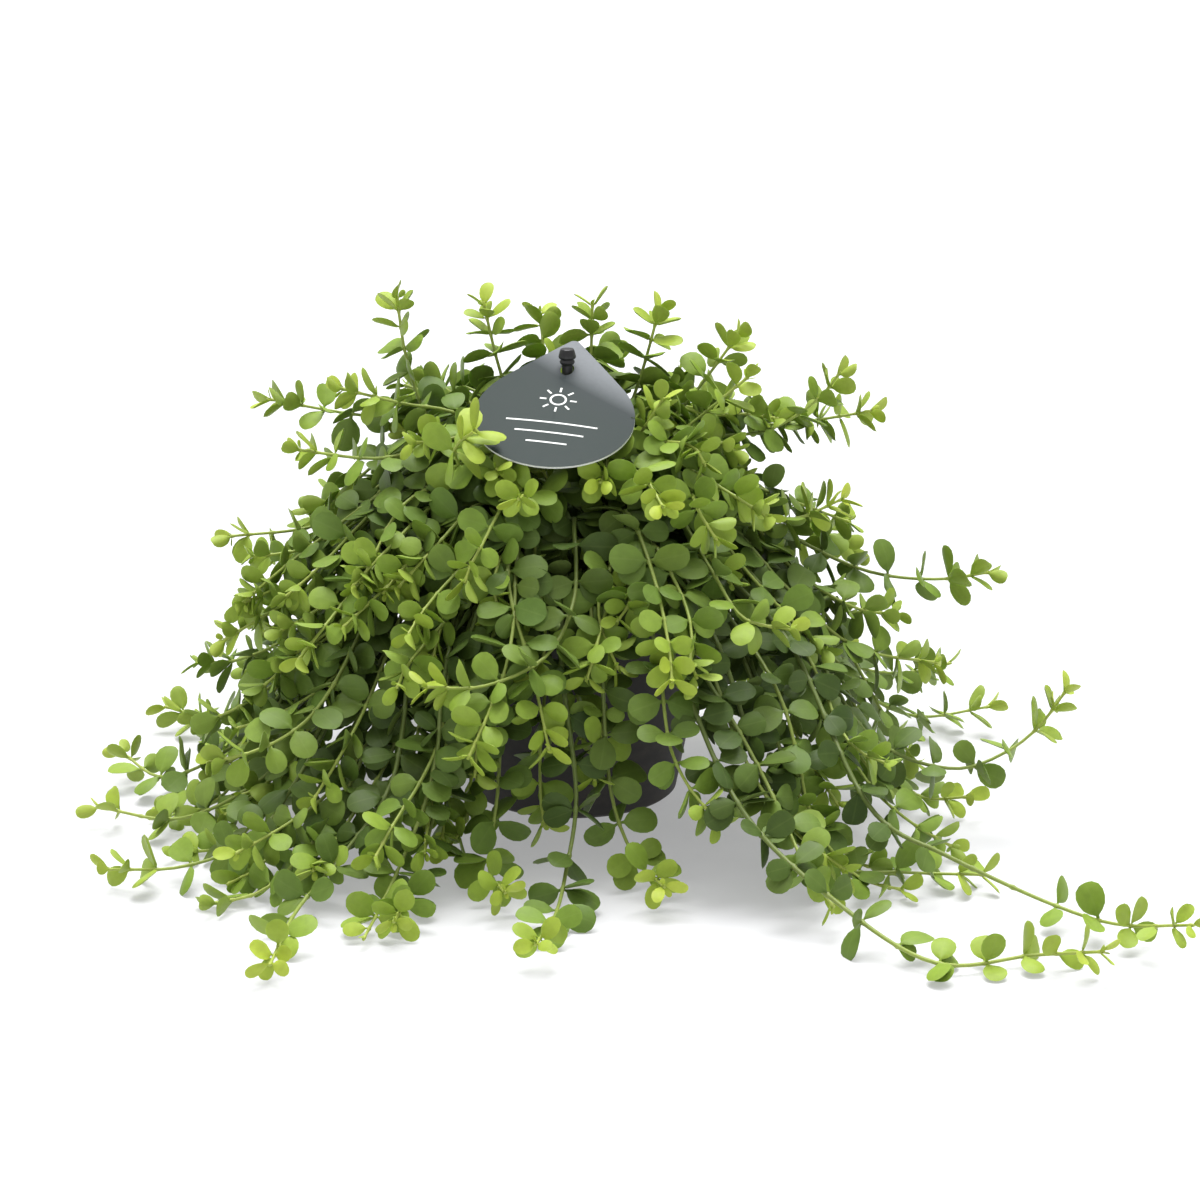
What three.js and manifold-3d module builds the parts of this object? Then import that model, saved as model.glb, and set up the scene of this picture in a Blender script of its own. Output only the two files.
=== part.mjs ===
// A potted trailing peperomia: a nursery pot of soil, a dome of leafy stems that falls over the rim and
// trails along the surface, and a plant label on a stake.
// Millimetres, +Z up, origin at the centre of the pot's flat base. The front of the plant faces -Y.

import * as THREE from 'three';
import { mergeVertices } from 'three/addons/utils/BufferGeometryUtils.js';
import Module from 'manifold-3d';

const wasm = await Module();
wasm.setup();

const DEG = Math.PI / 180;
const CLEARANCE = 0.3;

// Pot, a 12 cm nursery pot
const POT_HEIGHT = 96;
const POT_RIM_RADIUS = 60;
const POT_BASE_RADIUS = 42;
const POT_WALL = 1.5;
const POT_FLOOR = 2;
const POT_COLLAR_HEIGHT = 12;
const POT_COLLAR_STEP = 1.6;
const POT_FOOT_CHAMFER = 1.5;
const POT_EDGE = 0.6;
const POT_SIDES = 36;
const DRAIN_HOLES = 6;
const DRAIN_RADIUS = 4.5;
const DRAIN_RING_RADIUS = 30;
const DRAIN_SIDES = 10;

// Soil plug
const SOIL_TOP = 88;
const SOIL_CROWN = 1.5;
const SOIL_FLAT_RADIUS = 40;
const SOIL_GAP = 0.6;
const ROOT_DEPTH = 12;
const ROOT_HOLE_RADIUS = 2.6;
const ROOT_HOLE_SIDES = 4;

// Plant label, a flat drop shape that leans back on its stake
const LABEL_RADIUS = 31.5;
const LABEL_APEX = 47.5;
const LABEL_APEX_ROUND = 2.5;
const LABEL_THICKNESS = 0.8;
const LABEL_LEAN = 26 * DEG;
const LABEL_TURN = -10 * DEG;
const LABEL_SLOT = new THREE.Vector2(2.7, 4.1);
const LABEL_SLOT_DROP = 19;
const LABEL_RIM_STEPS = 34;
const LABEL_PEAK_STEPS = 5;
const LABEL_SLOT_STEPS = 16;

// Stake, a flat stick with a shoulder, a round neck through the label's slot and a round head
const STAKE_PLACE = new THREE.Vector3(-1.9, -12, 177.5);
const STAKE_WIDTH = 5;
const STAKE_THICKNESS = 2.2;
const STAKE_DEPTH = 34;
const STAKE_TIP = 9;
const STAKE_TIP_WIDTH = 1.6;
const STAKE_SHOULDER = 2.2;
const STAKE_NECK_RADIUS = 2.1;
const STAKE_NECK_ROOT = 3;
const STAKE_HEAD_RADIUS = 3.6;
const STAKE_HEAD_HEIGHT = 6;
const STAKE_HEAD_LIFT = 2.4;
const STAKE_HEAD_ROUND = 1.4;
const STAKE_HEAD_SIDES = 16;

// Stems: four-sided, slimmer towards the tip
const STEM_RADIUS_ROOT = 1.35;
const STEM_RADIUS_TIP = 0.8;
const STEM_TAPER_LENGTH = 140;
const COLLAR = 1.5;
const BARE_LENGTH = 22;
const APEX_LENGTH = 1.6;
const PATH_SAMPLES = 240;
const PATH_STEP = 3;

// The spaces between whorls, counted from the tip, and the last one again from there on. A ring without
// leaves is left out where the stem is straight.
const WHORL_SPACES = [7, 9, 11, 13, 14.5, 15.5];
const WHORL_SIDES = 4;
const WHORL_TWIST = 45 * DEG;
const SPACE_SPREAD = 0.16;
const LEAVES_IN_WHORL = [2, 3, 0, 2, 0, 2, 0, 0, 1];
const STRAIGHT = 16 * DEG;
const MATURE_WHORL = 4;

// Leaves: thick, blunt and widest past the middle. An outline point is a share of the length and of half
// the width.
const LEAF_LENGTHS = [8, 9.5, 11, 12, 12.8, 13.2];
const LEAF_WIDTH_YOUNG = 0.54;
const LEAF_WIDTH_MATURE = 0.84;
const LEAF_THICKNESS = 1.3;
const LEAF_OUTLINE = [[0.3, 0.64], [0.68, 1], [0.96, 0.52]];
const LEAF_CROWN = 0.56;
const LEAF_DROOP = 0.1;
const LEAF_CUP = 0.05;
const LEAF_MARGIN = 0.35;
const LEAF_SIZE_SPREAD = 0.24;
const LEAF_LEAN_SPREAD = 0.5;
const LEAF_SWAY_SPREAD = 24;
const LEAF_MIN_OUTWARD = 0.2;

// How far a leaf stands off its stem, young and mature, how far a mature one turns flat to the light, and
// how far a young one faces along the stem
const SPREAD_YOUNG = 38 * DEG;
const SPREAD_MATURE = 83 * DEG;
const TURN_TO_LIGHT = 0.72;
const FACE_TO_TIP = 1.2;

// The light comes from above and, at the edge of the pot and past it, from outside
const LIGHT_UP = 0.8;
const LIGHT_OUT = 0.6;

// How close leaves come to the pot and to the surface that it stands on
const POT_CLEARANCE = 0.9;
const FLOOR_CLEARANCE = 0.5;

// Turns tried in this order until a leaf is clear of its neighbours: down, sideways, size
const LEAF_TURNS = [
  [0, 0, 1], [16, 0, 1], [-16, 0, 1], [0, 20, 1], [0, -20, 1], [28, 14, 0.92], [-28, -14, 0.92], [0, 0, 0.74],
];

// How the stems rise from the soil, by layer: the root's radius, then radius and height along the rise.
// Trailing stems stretch the spaces between their whorls, and upright ones shorten them.
const LAYERS = {
  skirt: { root: 47, rise: [[48.5, 100], [57, 112], [69, 107]], stretch: 1.15 },
  shoulder: { root: 36, rise: [[37, 108], [45, 125]], stretch: 1 },
  upper: { root: 25, rise: [[26, 114], [33, 138]], stretch: 0.85 },
  crown: { root: 14, rise: [[15, 112]], stretch: 0.75 },
};

// Every stem: the heading of its root round the pot, 0 along +X and -90 at the front, then the points that
// it passes, the last one its tip
const STEMS = {
  skirt: [
    [-38, [82, -62, 84], [116, -122, 30], [140, -135, 20], [179, -156, 8], [199, -172, 7], [223, -201, 18]],
    [-52, [58, -86, 82], [80, -118, 26], [100, -122, 10], [126, -114, 5], [157, -122, 7]],
    [-65, [40, -92, 82], [64, -136, 38], [95, -171, 17], [132, -204, 4.5], [167, -196, 4.5], [190, -211, 12]],
    [-79, [12, -92, 78], [16, -105, 30], [24, -116, 12], [35, -148, 12]],
    [-92, [-4, -88, 84], [2, -112, 34], [-2, -135, 12], [-5, -160, 7], [-12, -205, 12]],
    [-105, [-25, -88, 80], [-28, -108, 34], [-31, -125, 12], [-24, -154, 12]],
    [-118, [-42, -82, 82], [-50, -108, 36], [-58, -132, 10], [-64, -178, 10]],
    [-131, [-60, -72, 84], [-68, -112, 40], [-86, -132, 18], [-100, -158, 8], [-106, -214, 8]],
    [-144, [-76, -56, 84], [-104, -88, 36], [-122, -108, 16], [-148, -116, 8], [-176, -124, 10]],
    [-158, [-88, -38, 82], [-112, -62, 34], [-152, -64, 9], [-189, -52, 9]],
    [-174, [-94, -14, 78], [-132, -28, 30], [-165, -19, 10], [-187, 8, 12]],
    [162, [-92, 28, 78], [-126, 44, 28], [-150, 58, 9], [-176, 72, 10]],
    [134, [-66, 68, 78], [-88, 96, 28], [-102, 126, 9], [-110, 158, 12]],
    [106, [-24, 92, 78], [-30, 120, 26], [-24, 148, 8], [-36, 186, 12]],
    [78, [22, 92, 78], [28, 118, 26], [42, 146, 9], [44, 180, 10]],
    [50, [60, 72, 78], [82, 98, 26], [98, 124, 9], [120, 150, 14]],
    [23, [86, 36, 78], [120, 50, 26], [146, 62, 9], [178, 66, 12]],
    [-20, [88, -34, 82], [118, -66, 42], [150, -66, 30], [170, -61, 35], [183, -57, 44], [194, -55, 59]],
    [-4, [92, -6, 80], [120, -26, 30], [138, -38, 9], [158, -46, 11]],
  ],
  shoulder: [
    [8, [60, 8, 122], [88, 8, 104], [120, 4, 90], [148, 0, 88], [169, 0, 91]],
    [-27, [56, -28, 124], [84, -38, 96], [112, -34, 70], [146, -24, 60]],
    [-49, [40, -46, 128], [54, -72, 112], [66, -88, 98], [84, -93, 95]],
    [-67, [22, -54, 130], [32, -86, 112], [37, -108, 92], [38, -118, 82]],
    [-89, [1, -58, 126], [1, -84, 104], [-10, -106, 88], [-33, -116, 80], [-55, -117, 80]],
    [-109, [-20, -56, 128], [-24, -82, 112], [-14, -106, 80], [-8, -120, 56]],
    [-129, [-36, -46, 132], [-52, -64, 120], [-67, -77, 106]],
    [-148, [-50, -32, 130], [-80, -60, 106], [-104, -90, 82]],
    [-164, [-62, -18, 128], [-100, -36, 98], [-138, -44, 75]],
    [178, [-66, 2, 132], [-100, -6, 113], [-138, -8, 108]],
    [148, [-54, 34, 130], [-86, 54, 106], [-118, 76, 78]],
    [119, [-30, 54, 130], [-46, 86, 106], [-62, 122, 72]],
    [90, [0, 62, 130], [-2, 94, 108], [4, 132, 72]],
    [62, [29, 54, 130], [46, 84, 106], [62, 118, 74]],
    [33, [54, 34, 130], [86, 56, 106], [118, 80, 78]],
  ],
  upper: [
    [-166, [-44, -10, 158], [-68, -12, 164], [-92, -12, 170]],
    [-148, [-44, -22, 150], [-76, -30, 146], [-108, -28, 149]],
    [158, [-46, 16, 150], [-84, 24, 150], [-124, 24, 157]],
    [4, [46, 0, 146], [78, 0, 150], [98, 3, 162], [107, 4, 173]],
    [26, [46, 20, 148], [84, 26, 146], [122, 24, 152]],
    [-20, [50, -16, 138], [84, -18, 118], [108, -16, 126]],
    [-98, [-8, -44, 136], [-16, -60, 140], [-20, -77, 142]],
    [-64, [20, -42, 146], [28, -60, 146], [35, -78, 139]],
    [-126, [-32, -36, 140], [-44, -48, 149], [-44, -56, 158], [-36, -60, 165]],
    [-42, [38, -34, 146], [56, -48, 140], [76, -60, 130]],
    [58, [28, 42, 156], [42, 66, 152], [60, 92, 138]],
    [92, [-2, 48, 158], [-2, 76, 152], [-4, 106, 136]],
    [126, [-30, 42, 156], [-46, 64, 152], [-66, 90, 140]],
  ],
  crown: [
    [176, [-34, 4, 134], [-56, 7, 150], [-66, 9, 176], [-70, 10, 203]],
    [132, [-18, 16, 140], [-29, 22, 168], [-36, 25, 197]],
    [82, [4, 18, 140], [7, 26, 168], [8, 30, 196]],
    [42, [18, 16, 140], [28, 25, 168], [35, 30, 193]],
    [10, [24, 6, 136], [46, 14, 158], [67, 20, 185]],
    [-28, [24, -10, 136], [46, -10, 154], [70, -8, 174]],
    [108, [-10, 30, 152], [-12, 46, 172], [-14, 58, 186]],
    [-62, [14, -22, 138], [27, -28, 156], [36, -28, 170]],
  ],
};

const LOOKS = {
  pot: { color: 0x2f2c2b, roughness: 0.62, metalness: 0 },
  soil: { color: 0x2b2019, roughness: 0.95, metalness: 0 },
  stake: { color: 0x1b1b1c, roughness: 0.45, metalness: 0 },
  label: { color: 0x56626a, roughness: 0.5, metalness: 0 },
  leaf: { color: 0x6f9c3c, roughness: 0.55, metalness: 0 },
};

/** A named piece with its own material. */
function piece(name, geometry, look) {
  const mesh = new THREE.Mesh(geometry, new THREE.MeshStandardMaterial(look));
  mesh.name = name;
  return mesh;
}

/** A closed geometry as a solid that can be joined and cut. */
function solid(geometry) {
  const bare = geometry.clone();
  for (const attribute of Object.keys(bare.attributes)) {
    if (attribute !== 'position') bare.deleteAttribute(attribute);
  }
  const merged = mergeVertices(bare, 1e-4);
  const vertProperties = new Float32Array(merged.attributes.position.array);
  const triVerts = new Uint32Array(merged.index.array);
  return new wasm.Manifold(new wasm.Mesh({ numProp: 3, vertProperties, triVerts }));
}

/** A joined or cut solid back as a geometry. */
function geometryOf(manifold) {
  const { vertProperties, triVerts } = manifold.getMesh();
  const geometry = new THREE.BufferGeometry();
  geometry.setAttribute('position', new THREE.BufferAttribute(vertProperties, 3));
  geometry.setIndex(new THREE.BufferAttribute(triVerts, 1));
  geometry.computeVertexNormals();
  return geometry;
}

/** A profile of radius and height turned about the upright axis. */
function turned(profile, sides) {
  const points = profile.map(([radius, height]) => new THREE.Vector2(radius, height));
  return new THREE.LatheGeometry(points, sides).rotateX(90 * DEG);
}

/** An upright prism, used to cut round holes. */
function prism(radius, sides, bottom, top, x, y) {
  const cylinder = new THREE.CylinderGeometry(radius, radius, top - bottom, sides);
  return cylinder.rotateX(90 * DEG).translate(x, y, (top + bottom) / 2);
}

/** The pot wall's outer radius below the collar, at a height. */
function wallRadius(height) {
  const slope = (POT_RIM_RADIUS - POT_COLLAR_STEP - POT_BASE_RADIUS) / (POT_HEIGHT - POT_COLLAR_HEIGHT);
  return POT_BASE_RADIUS + slope * height;
}

function makePot() {
  const collarFoot = POT_HEIGHT - POT_COLLAR_HEIGHT;
  const shell = solid(turned([
    [0, 0],
    [POT_BASE_RADIUS - POT_FOOT_CHAMFER, 0],
    [wallRadius(POT_FOOT_CHAMFER), POT_FOOT_CHAMFER],
    [wallRadius(collarFoot), collarFoot],
    [POT_RIM_RADIUS - POT_EDGE, collarFoot + POT_EDGE],
    [POT_RIM_RADIUS, POT_HEIGHT - POT_EDGE],
    [POT_RIM_RADIUS - POT_EDGE, POT_HEIGHT],
    [POT_RIM_RADIUS - POT_WALL - POT_EDGE, POT_HEIGHT],
    [POT_RIM_RADIUS - POT_WALL - 2 * POT_EDGE, collarFoot + POT_WALL],
    [wallRadius(collarFoot) - POT_WALL, collarFoot - POT_WALL],
    [wallRadius(POT_FLOOR) - POT_WALL, POT_FLOOR],
    [0, POT_FLOOR],
  ], POT_SIDES));
  let pot = shell;
  for (let hole = 0; hole < DRAIN_HOLES; hole += 1) {
    const heading = (hole / DRAIN_HOLES) * 360 * DEG;
    const x = DRAIN_RING_RADIUS * Math.cos(heading);
    const y = DRAIN_RING_RADIUS * Math.sin(heading);
    pot = pot.subtract(solid(prism(DRAIN_RADIUS, DRAIN_SIDES, -1, POT_FLOOR + 1, x, y)));
  }
  return piece('pot', geometryOf(pot), LOOKS.pot);
}

function makeSoil(roots) {
  const low = POT_FLOOR + CLEARANCE;
  const inset = POT_WALL + SOIL_GAP;
  const collarFoot = POT_HEIGHT - POT_COLLAR_HEIGHT;
  let soil = solid(turned([
    [0, low],
    [wallRadius(low) - inset, low],
    [wallRadius(collarFoot - 2 * POT_WALL) - inset, collarFoot - 2 * POT_WALL],
    [wallRadius(collarFoot - 2 * POT_WALL) - inset, SOIL_TOP - SOIL_CROWN],
    [SOIL_FLAT_RADIUS, SOIL_TOP],
    [0, SOIL_TOP],
  ], POT_SIDES));
  const stakeWell = new THREE.BoxGeometry(
    STAKE_WIDTH + 2 * CLEARANCE,
    STAKE_THICKNESS + 2 * CLEARANCE,
    2 * (STAKE_DEPTH + CLEARANCE),
  );
  stakeWell.translate(STAKE_PLACE.x, STAKE_PLACE.y, SOIL_TOP);
  soil = soil.subtract(solid(stakeWell));
  const holeDepth = ROOT_DEPTH + CLEARANCE;
  for (const { x, y } of roots) {
    const hole = prism(ROOT_HOLE_RADIUS, ROOT_HOLE_SIDES, SOIL_TOP - holeDepth, SOIL_TOP + holeDepth, x, y);
    soil = soil.subtract(solid(hole));
  }
  return piece('soil', geometryOf(soil), LOOKS.soil);
}

/** The drop-shaped label, flat in its own plane with its slot at the origin, then leant back. */
function makeLabel() {
  const tangent = Math.acos(LABEL_RADIUS / LABEL_APEX);
  const roundDrop = LABEL_APEX_ROUND / Math.cos(tangent);
  const start = 90 * DEG - tangent;
  const end = 90 * DEG + tangent;
  const peakHeight = LABEL_APEX - roundDrop;
  const rim = new THREE.EllipseCurve(0, 0, LABEL_RADIUS, LABEL_RADIUS, start, end, true);
  const peak = new THREE.EllipseCurve(0, peakHeight, LABEL_APEX_ROUND, LABEL_APEX_ROUND, end, start, true);
  const outline = new THREE.Shape([...rim.getPoints(LABEL_RIM_STEPS), ...peak.getPoints(LABEL_PEAK_STEPS)]);
  const slot = new THREE.EllipseCurve(0, LABEL_APEX - LABEL_SLOT_DROP, LABEL_SLOT.x, LABEL_SLOT.y);
  outline.holes.push(new THREE.Path(slot.getPoints(LABEL_SLOT_STEPS).slice(0, -1)));
  const plate = new THREE.ExtrudeGeometry(outline, {
    depth: LABEL_THICKNESS,
    bevelEnabled: false,
  });
  plate.translate(0, LABEL_SLOT_DROP - LABEL_APEX, -LABEL_THICKNESS / 2);
  plate.rotateZ(LABEL_TURN);
  plate.rotateX(LABEL_LEAN);
  plate.translate(STAKE_PLACE.x, STAKE_PLACE.y, STAKE_PLACE.z);
  return piece('label', geometryOf(solid(plate)), LOOKS.label);
}

/** The stake: a flat pointed stick with a shoulder, and a round neck and head above it. */
function makeStake() {
  const top = STAKE_PLACE.z - STAKE_SHOULDER;
  const bottom = SOIL_TOP - STAKE_DEPTH;
  const half = STAKE_WIDTH / 2;
  const outline = new THREE.Shape([
    new THREE.Vector2(-STAKE_TIP_WIDTH / 2, bottom),
    new THREE.Vector2(STAKE_TIP_WIDTH / 2, bottom),
    new THREE.Vector2(half, bottom + STAKE_TIP),
    new THREE.Vector2(half, top),
    new THREE.Vector2(-half, top),
    new THREE.Vector2(-half, bottom + STAKE_TIP),
  ]);
  const stick = new THREE.ExtrudeGeometry(outline, { depth: STAKE_THICKNESS, bevelEnabled: false });
  stick.translate(0, 0, -STAKE_THICKNESS / 2);
  stick.rotateX(90 * DEG);
  const headFoot = STAKE_PLACE.z + STAKE_HEAD_LIFT;
  const headTop = headFoot + STAKE_HEAD_HEIGHT;
  const peg = turned([
    [0, top - STAKE_NECK_ROOT],
    [STAKE_NECK_RADIUS, top - STAKE_NECK_ROOT],
    [STAKE_NECK_RADIUS, headFoot],
    [STAKE_HEAD_RADIUS, headFoot + STAKE_HEAD_ROUND / 2],
    [STAKE_HEAD_RADIUS, headTop - STAKE_HEAD_ROUND],
    [STAKE_HEAD_RADIUS - STAKE_HEAD_ROUND, headTop],
    [0, headTop],
  ], STAKE_HEAD_SIDES);
  const stake = solid(stick).add(solid(peg)).translate([STAKE_PLACE.x, STAKE_PLACE.y, 0]);
  return piece('stake', geometryOf(stake), LOOKS.stake);
}

/** Seeded draws between 0 and 1, so that the plant grows the same way each time. */
function seeded(seed) {
  let state = seed;
  return () => {
    state = (state * 16807) % 2147483647;
    return state / 2147483647;
  };
}

/** A stem's route: its buried root, and the points from the soil to the tip, walked by length. */
function makeRoute(layer, heading, through) {
  const { root, rise } = LAYERS[layer];
  const away = new THREE.Vector3(Math.cos(heading * DEG), Math.sin(heading * DEG), 0);
  const at = (radius, height) => away.clone().multiplyScalar(radius).setZ(height);
  const ground = at(root, SOIL_TOP + 1);
  const points = [ground];
  for (const [radius, height] of rise) points.push(at(radius, height));
  for (const [x, y, z] of through) points.push(new THREE.Vector3(x, y, z));
  const samples = new THREE.CatmullRomCurve3(points).getPoints(PATH_SAMPLES);
  const lengths = [0];
  for (let i = 1; i < samples.length; i += 1) {
    lengths.push(lengths[i - 1] + samples[i].distanceTo(samples[i - 1]));
  }
  const across = new THREE.Vector3(-away.y, away.x, 0);
  return { ground, across, samples, lengths, length: lengths[lengths.length - 1] };
}

/** The point at a length along a route. */
function pointAt(route, distance) {
  const { samples, lengths } = route;
  const wanted = Math.min(Math.max(distance, 0), route.length);
  let i = 1;
  while (i < lengths.length - 1 && lengths[i] < wanted) i += 1;
  const share = (wanted - lengths[i - 1]) / (lengths[i] - lengths[i - 1]);
  return samples[i - 1].clone().lerp(samples[i], share);
}

/** The direction of a route at a length. */
function directionAt(route, distance) {
  return pointAt(route, distance + PATH_STEP).sub(pointAt(route, distance - PATH_STEP)).normalize();
}

function stemRadius(distanceFromTip) {
  const share = Math.min(distanceFromTip / STEM_TAPER_LENGTH, 1);
  return STEM_RADIUS_TIP + (STEM_RADIUS_ROOT - STEM_RADIUS_TIP) * share;
}

/** The whorls of a stem from the root to the tip, each with its frame and its four leaf slots. */
function makeWhorls(route, stretch, index) {
  const draw = seeded(4241 + 97 * index);
  const phase = 90 * DEG * draw();
  const whorls = [];
  let fromTip = APEX_LENGTH;
  for (let rank = 0; route.length - fromTip > BARE_LENGTH; rank += 1) {
    const slots = [];
    for (let side = 0; side < WHORL_SIDES; side += 1) {
      const lean = LEAF_LEAN_SPREAD * (draw() - 0.5);
      const sway = LEAF_SWAY_SPREAD * (draw() - 0.5);
      const size = 1 + LEAF_SIZE_SPREAD * (draw() - 0.5);
      slots.push({ side, lean, sway, size });
    }
    whorls.push({ rank, distance: route.length - fromTip, radius: stemRadius(fromTip), slots });
    const space = stretch * WHORL_SPACES[Math.min(rank, WHORL_SPACES.length - 1)];
    fromTip += space * (1 + SPACE_SPREAD * (draw() - 0.5));
  }
  whorls.reverse();
  const across = route.across.clone();
  for (const whorl of whorls) {
    whorl.centre = pointAt(route, whorl.distance);
    whorl.along = directionAt(route, whorl.distance);
    across.addScaledVector(whorl.along, -across.dot(whorl.along)).normalize();
    whorl.across = across.clone();
    whorl.turn = phase + WHORL_TWIST * (whorl.rank % 2);
  }
  return whorls;
}

/** The unit vector at an angle round a stem. */
function around(along, across, angle) {
  const side = along.clone().cross(across);
  return across.clone().multiplyScalar(Math.cos(angle)).addScaledVector(side, Math.sin(angle));
}

/** Where the light comes from at a place: from above, and from outside the dome. */
function lightAt(place) {
  const spread = Math.hypot(place.x, place.y);
  const outward = LIGHT_OUT / Math.max(spread, POT_RIM_RADIUS);
  return new THREE.Vector3(place.x * outward, place.y * outward, LIGHT_UP).normalize();
}

/** A leaf's frame: where it leaves the stem, its direction, its upper face and its size. */
function leafFrame(whorl, slot, [pitch, yaw, scale]) {
  const age = Math.min(whorl.rank / MATURE_WHORL, 1);
  const outward = around(whorl.along, whorl.across, whorl.turn + 90 * DEG * slot.side);
  const spread = SPREAD_YOUNG + (SPREAD_MATURE - SPREAD_YOUNG) * age;
  const ahead = outward.clone().multiplyScalar(Math.sin(spread));
  ahead.addScaledVector(whorl.along, Math.cos(spread));
  const light = lightAt(whorl.centre);
  ahead.addScaledVector(light, slot.lean - TURN_TO_LIGHT * age * ahead.dot(light)).normalize();
  const upper = light.clone().multiplyScalar(age).addScaledVector(whorl.along, FACE_TO_TIP * (1 - age));
  upper.addScaledVector(ahead, -upper.dot(ahead)).normalize();
  const sideways = ahead.clone().cross(upper);
  ahead.applyAxisAngle(sideways, -pitch * DEG);
  upper.applyAxisAngle(sideways, -pitch * DEG);
  ahead.applyAxisAngle(upper, (yaw + slot.sway) * DEG);
  const length = LEAF_LENGTHS[Math.min(whorl.rank, LEAF_LENGTHS.length - 1)] * slot.size * scale;
  const width = length * (LEAF_WIDTH_YOUNG + (LEAF_WIDTH_MATURE - LEAF_WIDTH_YOUNG) * age);
  const origin = whorl.centre.clone().addScaledVector(outward, whorl.radius * Math.SQRT1_2);
  return { origin, outward, ahead, upper, sideways: ahead.clone().cross(upper), length, width };
}

/** A point of a leaf from its shares along and across, and its height over the blade's plane. */
function leafPoint(frame, along, across, height) {
  const bend = -LEAF_DROOP * frame.length * along * along + LEAF_CUP * frame.width * across * across;
  return frame.origin.clone()
    .addScaledVector(frame.ahead, frame.length * along)
    .addScaledVector(frame.sideways, -0.5 * frame.width * across)
    .addScaledVector(frame.upper, bend + height);
}

/** A leaf's points and faces, grown from the four corners of one side of its stem. */
function leafShell(frame, corners, margin) {
  const grownFrame = { ...frame, length: frame.length + margin, width: frame.width + 2 * margin };
  const outline = [
    ...LEAF_OUTLINE,
    ...LEAF_OUTLINE.toReversed().map(([along, across]) => [along, -across]),
  ];
  const rim = outline.map(([along, across]) => leafPoint(grownFrame, along, across, 0));
  const crown = leafPoint(grownFrame, LEAF_CROWN, 0, LEAF_THICKNESS / 2 + margin);
  const keel = leafPoint(grownFrame, LEAF_CROWN, 0, -LEAF_THICKNESS / 2 - margin);
  const base = orderedCorners(frame, corners);
  const points = [...base, ...rim, crown, keel];
  const [rightLow, rightHigh, leftHigh, leftLow] = [0, 1, 2, 3];
  const first = 4;
  const last = first + rim.length - 1;
  const top = last + 1;
  const bottom = last + 2;
  const faces = [
    [rightHigh, first, rightLow],
    [last, leftHigh, leftLow],
    [top, rightHigh, leftHigh],
    [bottom, leftLow, rightLow],
    [top, first, rightHigh],
    [bottom, rightLow, first],
    [top, leftHigh, last],
    [bottom, last, leftLow],
  ];
  for (let i = first; i < last; i += 1) {
    faces.push([top, i + 1, i], [bottom, i, i + 1]);
  }
  return { points, faces };
}

/** The four corners of a leaf's root in the order right low, right high, left high, left low. */
function orderedCorners(frame, corners) {
  const wanted = [[1, -1], [1, 1], [-1, 1], [-1, -1]];
  let best = corners;
  let bestFit = -Infinity;
  for (let shift = 0; shift < 4; shift += 1) {
    const order = corners.map((_, i) => corners[(i + shift) % 4]);
    let fit = 0;
    order.forEach((corner, i) => {
      const from = corner.clone().sub(frame.origin);
      fit += wanted[i][0] * from.dot(frame.upper.clone().cross(frame.ahead));
      fit += wanted[i][1] * from.dot(frame.upper);
    });
    if (fit > bestFit) {
      bestFit = fit;
      best = order;
    }
  }
  return best;
}

/** Triangles with their bounding boxes, in a grid of cells, to find what a new leaf would cross. */
class Thicket {
  static cell = 12;

  constructor() {
    this.cells = new Map();
  }

  static keysOf(box) {
    const keys = [];
    const low = box.min.clone().divideScalar(Thicket.cell).floor();
    const high = box.max.clone().divideScalar(Thicket.cell).floor();
    for (let x = low.x; x <= high.x; x += 1) {
      for (let y = low.y; y <= high.y; y += 1) {
        for (let z = low.z; z <= high.z; z += 1) keys.push(`${x},${y},${z}`);
      }
    }
    return keys;
  }

  add(triangles) {
    for (const triangle of triangles) {
      for (const key of Thicket.keysOf(triangle.box)) {
        if (!this.cells.has(key)) this.cells.set(key, []);
        this.cells.get(key).push(triangle);
      }
    }
  }

  blocks(triangles) {
    return triangles.some((triangle) => Thicket.keysOf(triangle.box).some((key) => (
      (this.cells.get(key) ?? []).some((other) => crosses(triangle, other))
    )));
  }
}

function triangleOf(a, b, c) {
  return { corners: [a, b, c], box: new THREE.Box3().setFromPoints([a, b, c]) };
}

function trianglesOf({ points, faces }) {
  return faces.map((face) => triangleOf(...face.map((i) => points[i])));
}

/** Whether the line from one point to another passes through a triangle. */
function pierces(from, to, [a, b, c]) {
  const reach = to.clone().sub(from);
  const ray = new THREE.Ray(from, reach.clone().normalize());
  const hit = ray.intersectTriangle(a, b, c, false, new THREE.Vector3());
  return hit !== null && hit.distanceTo(from) <= reach.length();
}

/** Whether two triangles cross. Two that share a corner belong together and don't count. */
function crosses(one, other) {
  if (!one.box.intersectsBox(other.box)) return false;
  if (one.corners.some((corner) => other.corners.includes(corner))) return false;
  for (let i = 0; i < 3; i += 1) {
    const j = (i + 1) % 3;
    if (pierces(one.corners[i], one.corners[j], other.corners)) return true;
    if (pierces(other.corners[i], other.corners[j], one.corners)) return true;
  }
  return false;
}

/** Whether a point is clear of the pot and above the surface that the pot stands on. */
function isOpen(point) {
  const spread = Math.hypot(point.x, point.y);
  const underCollar = point.z < POT_HEIGHT - POT_COLLAR_HEIGHT - POT_CLEARANCE;
  const wall = underCollar ? wallRadius(point.z) : POT_RIM_RADIUS;
  const overRim = point.z > POT_HEIGHT + POT_CLEARANCE;
  return point.z > FLOOR_CLEARANCE && (overRim || spread > wall + POT_CLEARANCE);
}

/** The square ring of a stem at a place, its corners between the leaf directions. */
function ring(centre, along, across, turn, radius) {
  return [0, 1, 2, 3].map((corner) => (
    around(along, across, turn + (90 * corner - 45) * DEG).multiplyScalar(radius).add(centre)
  ));
}

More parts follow.
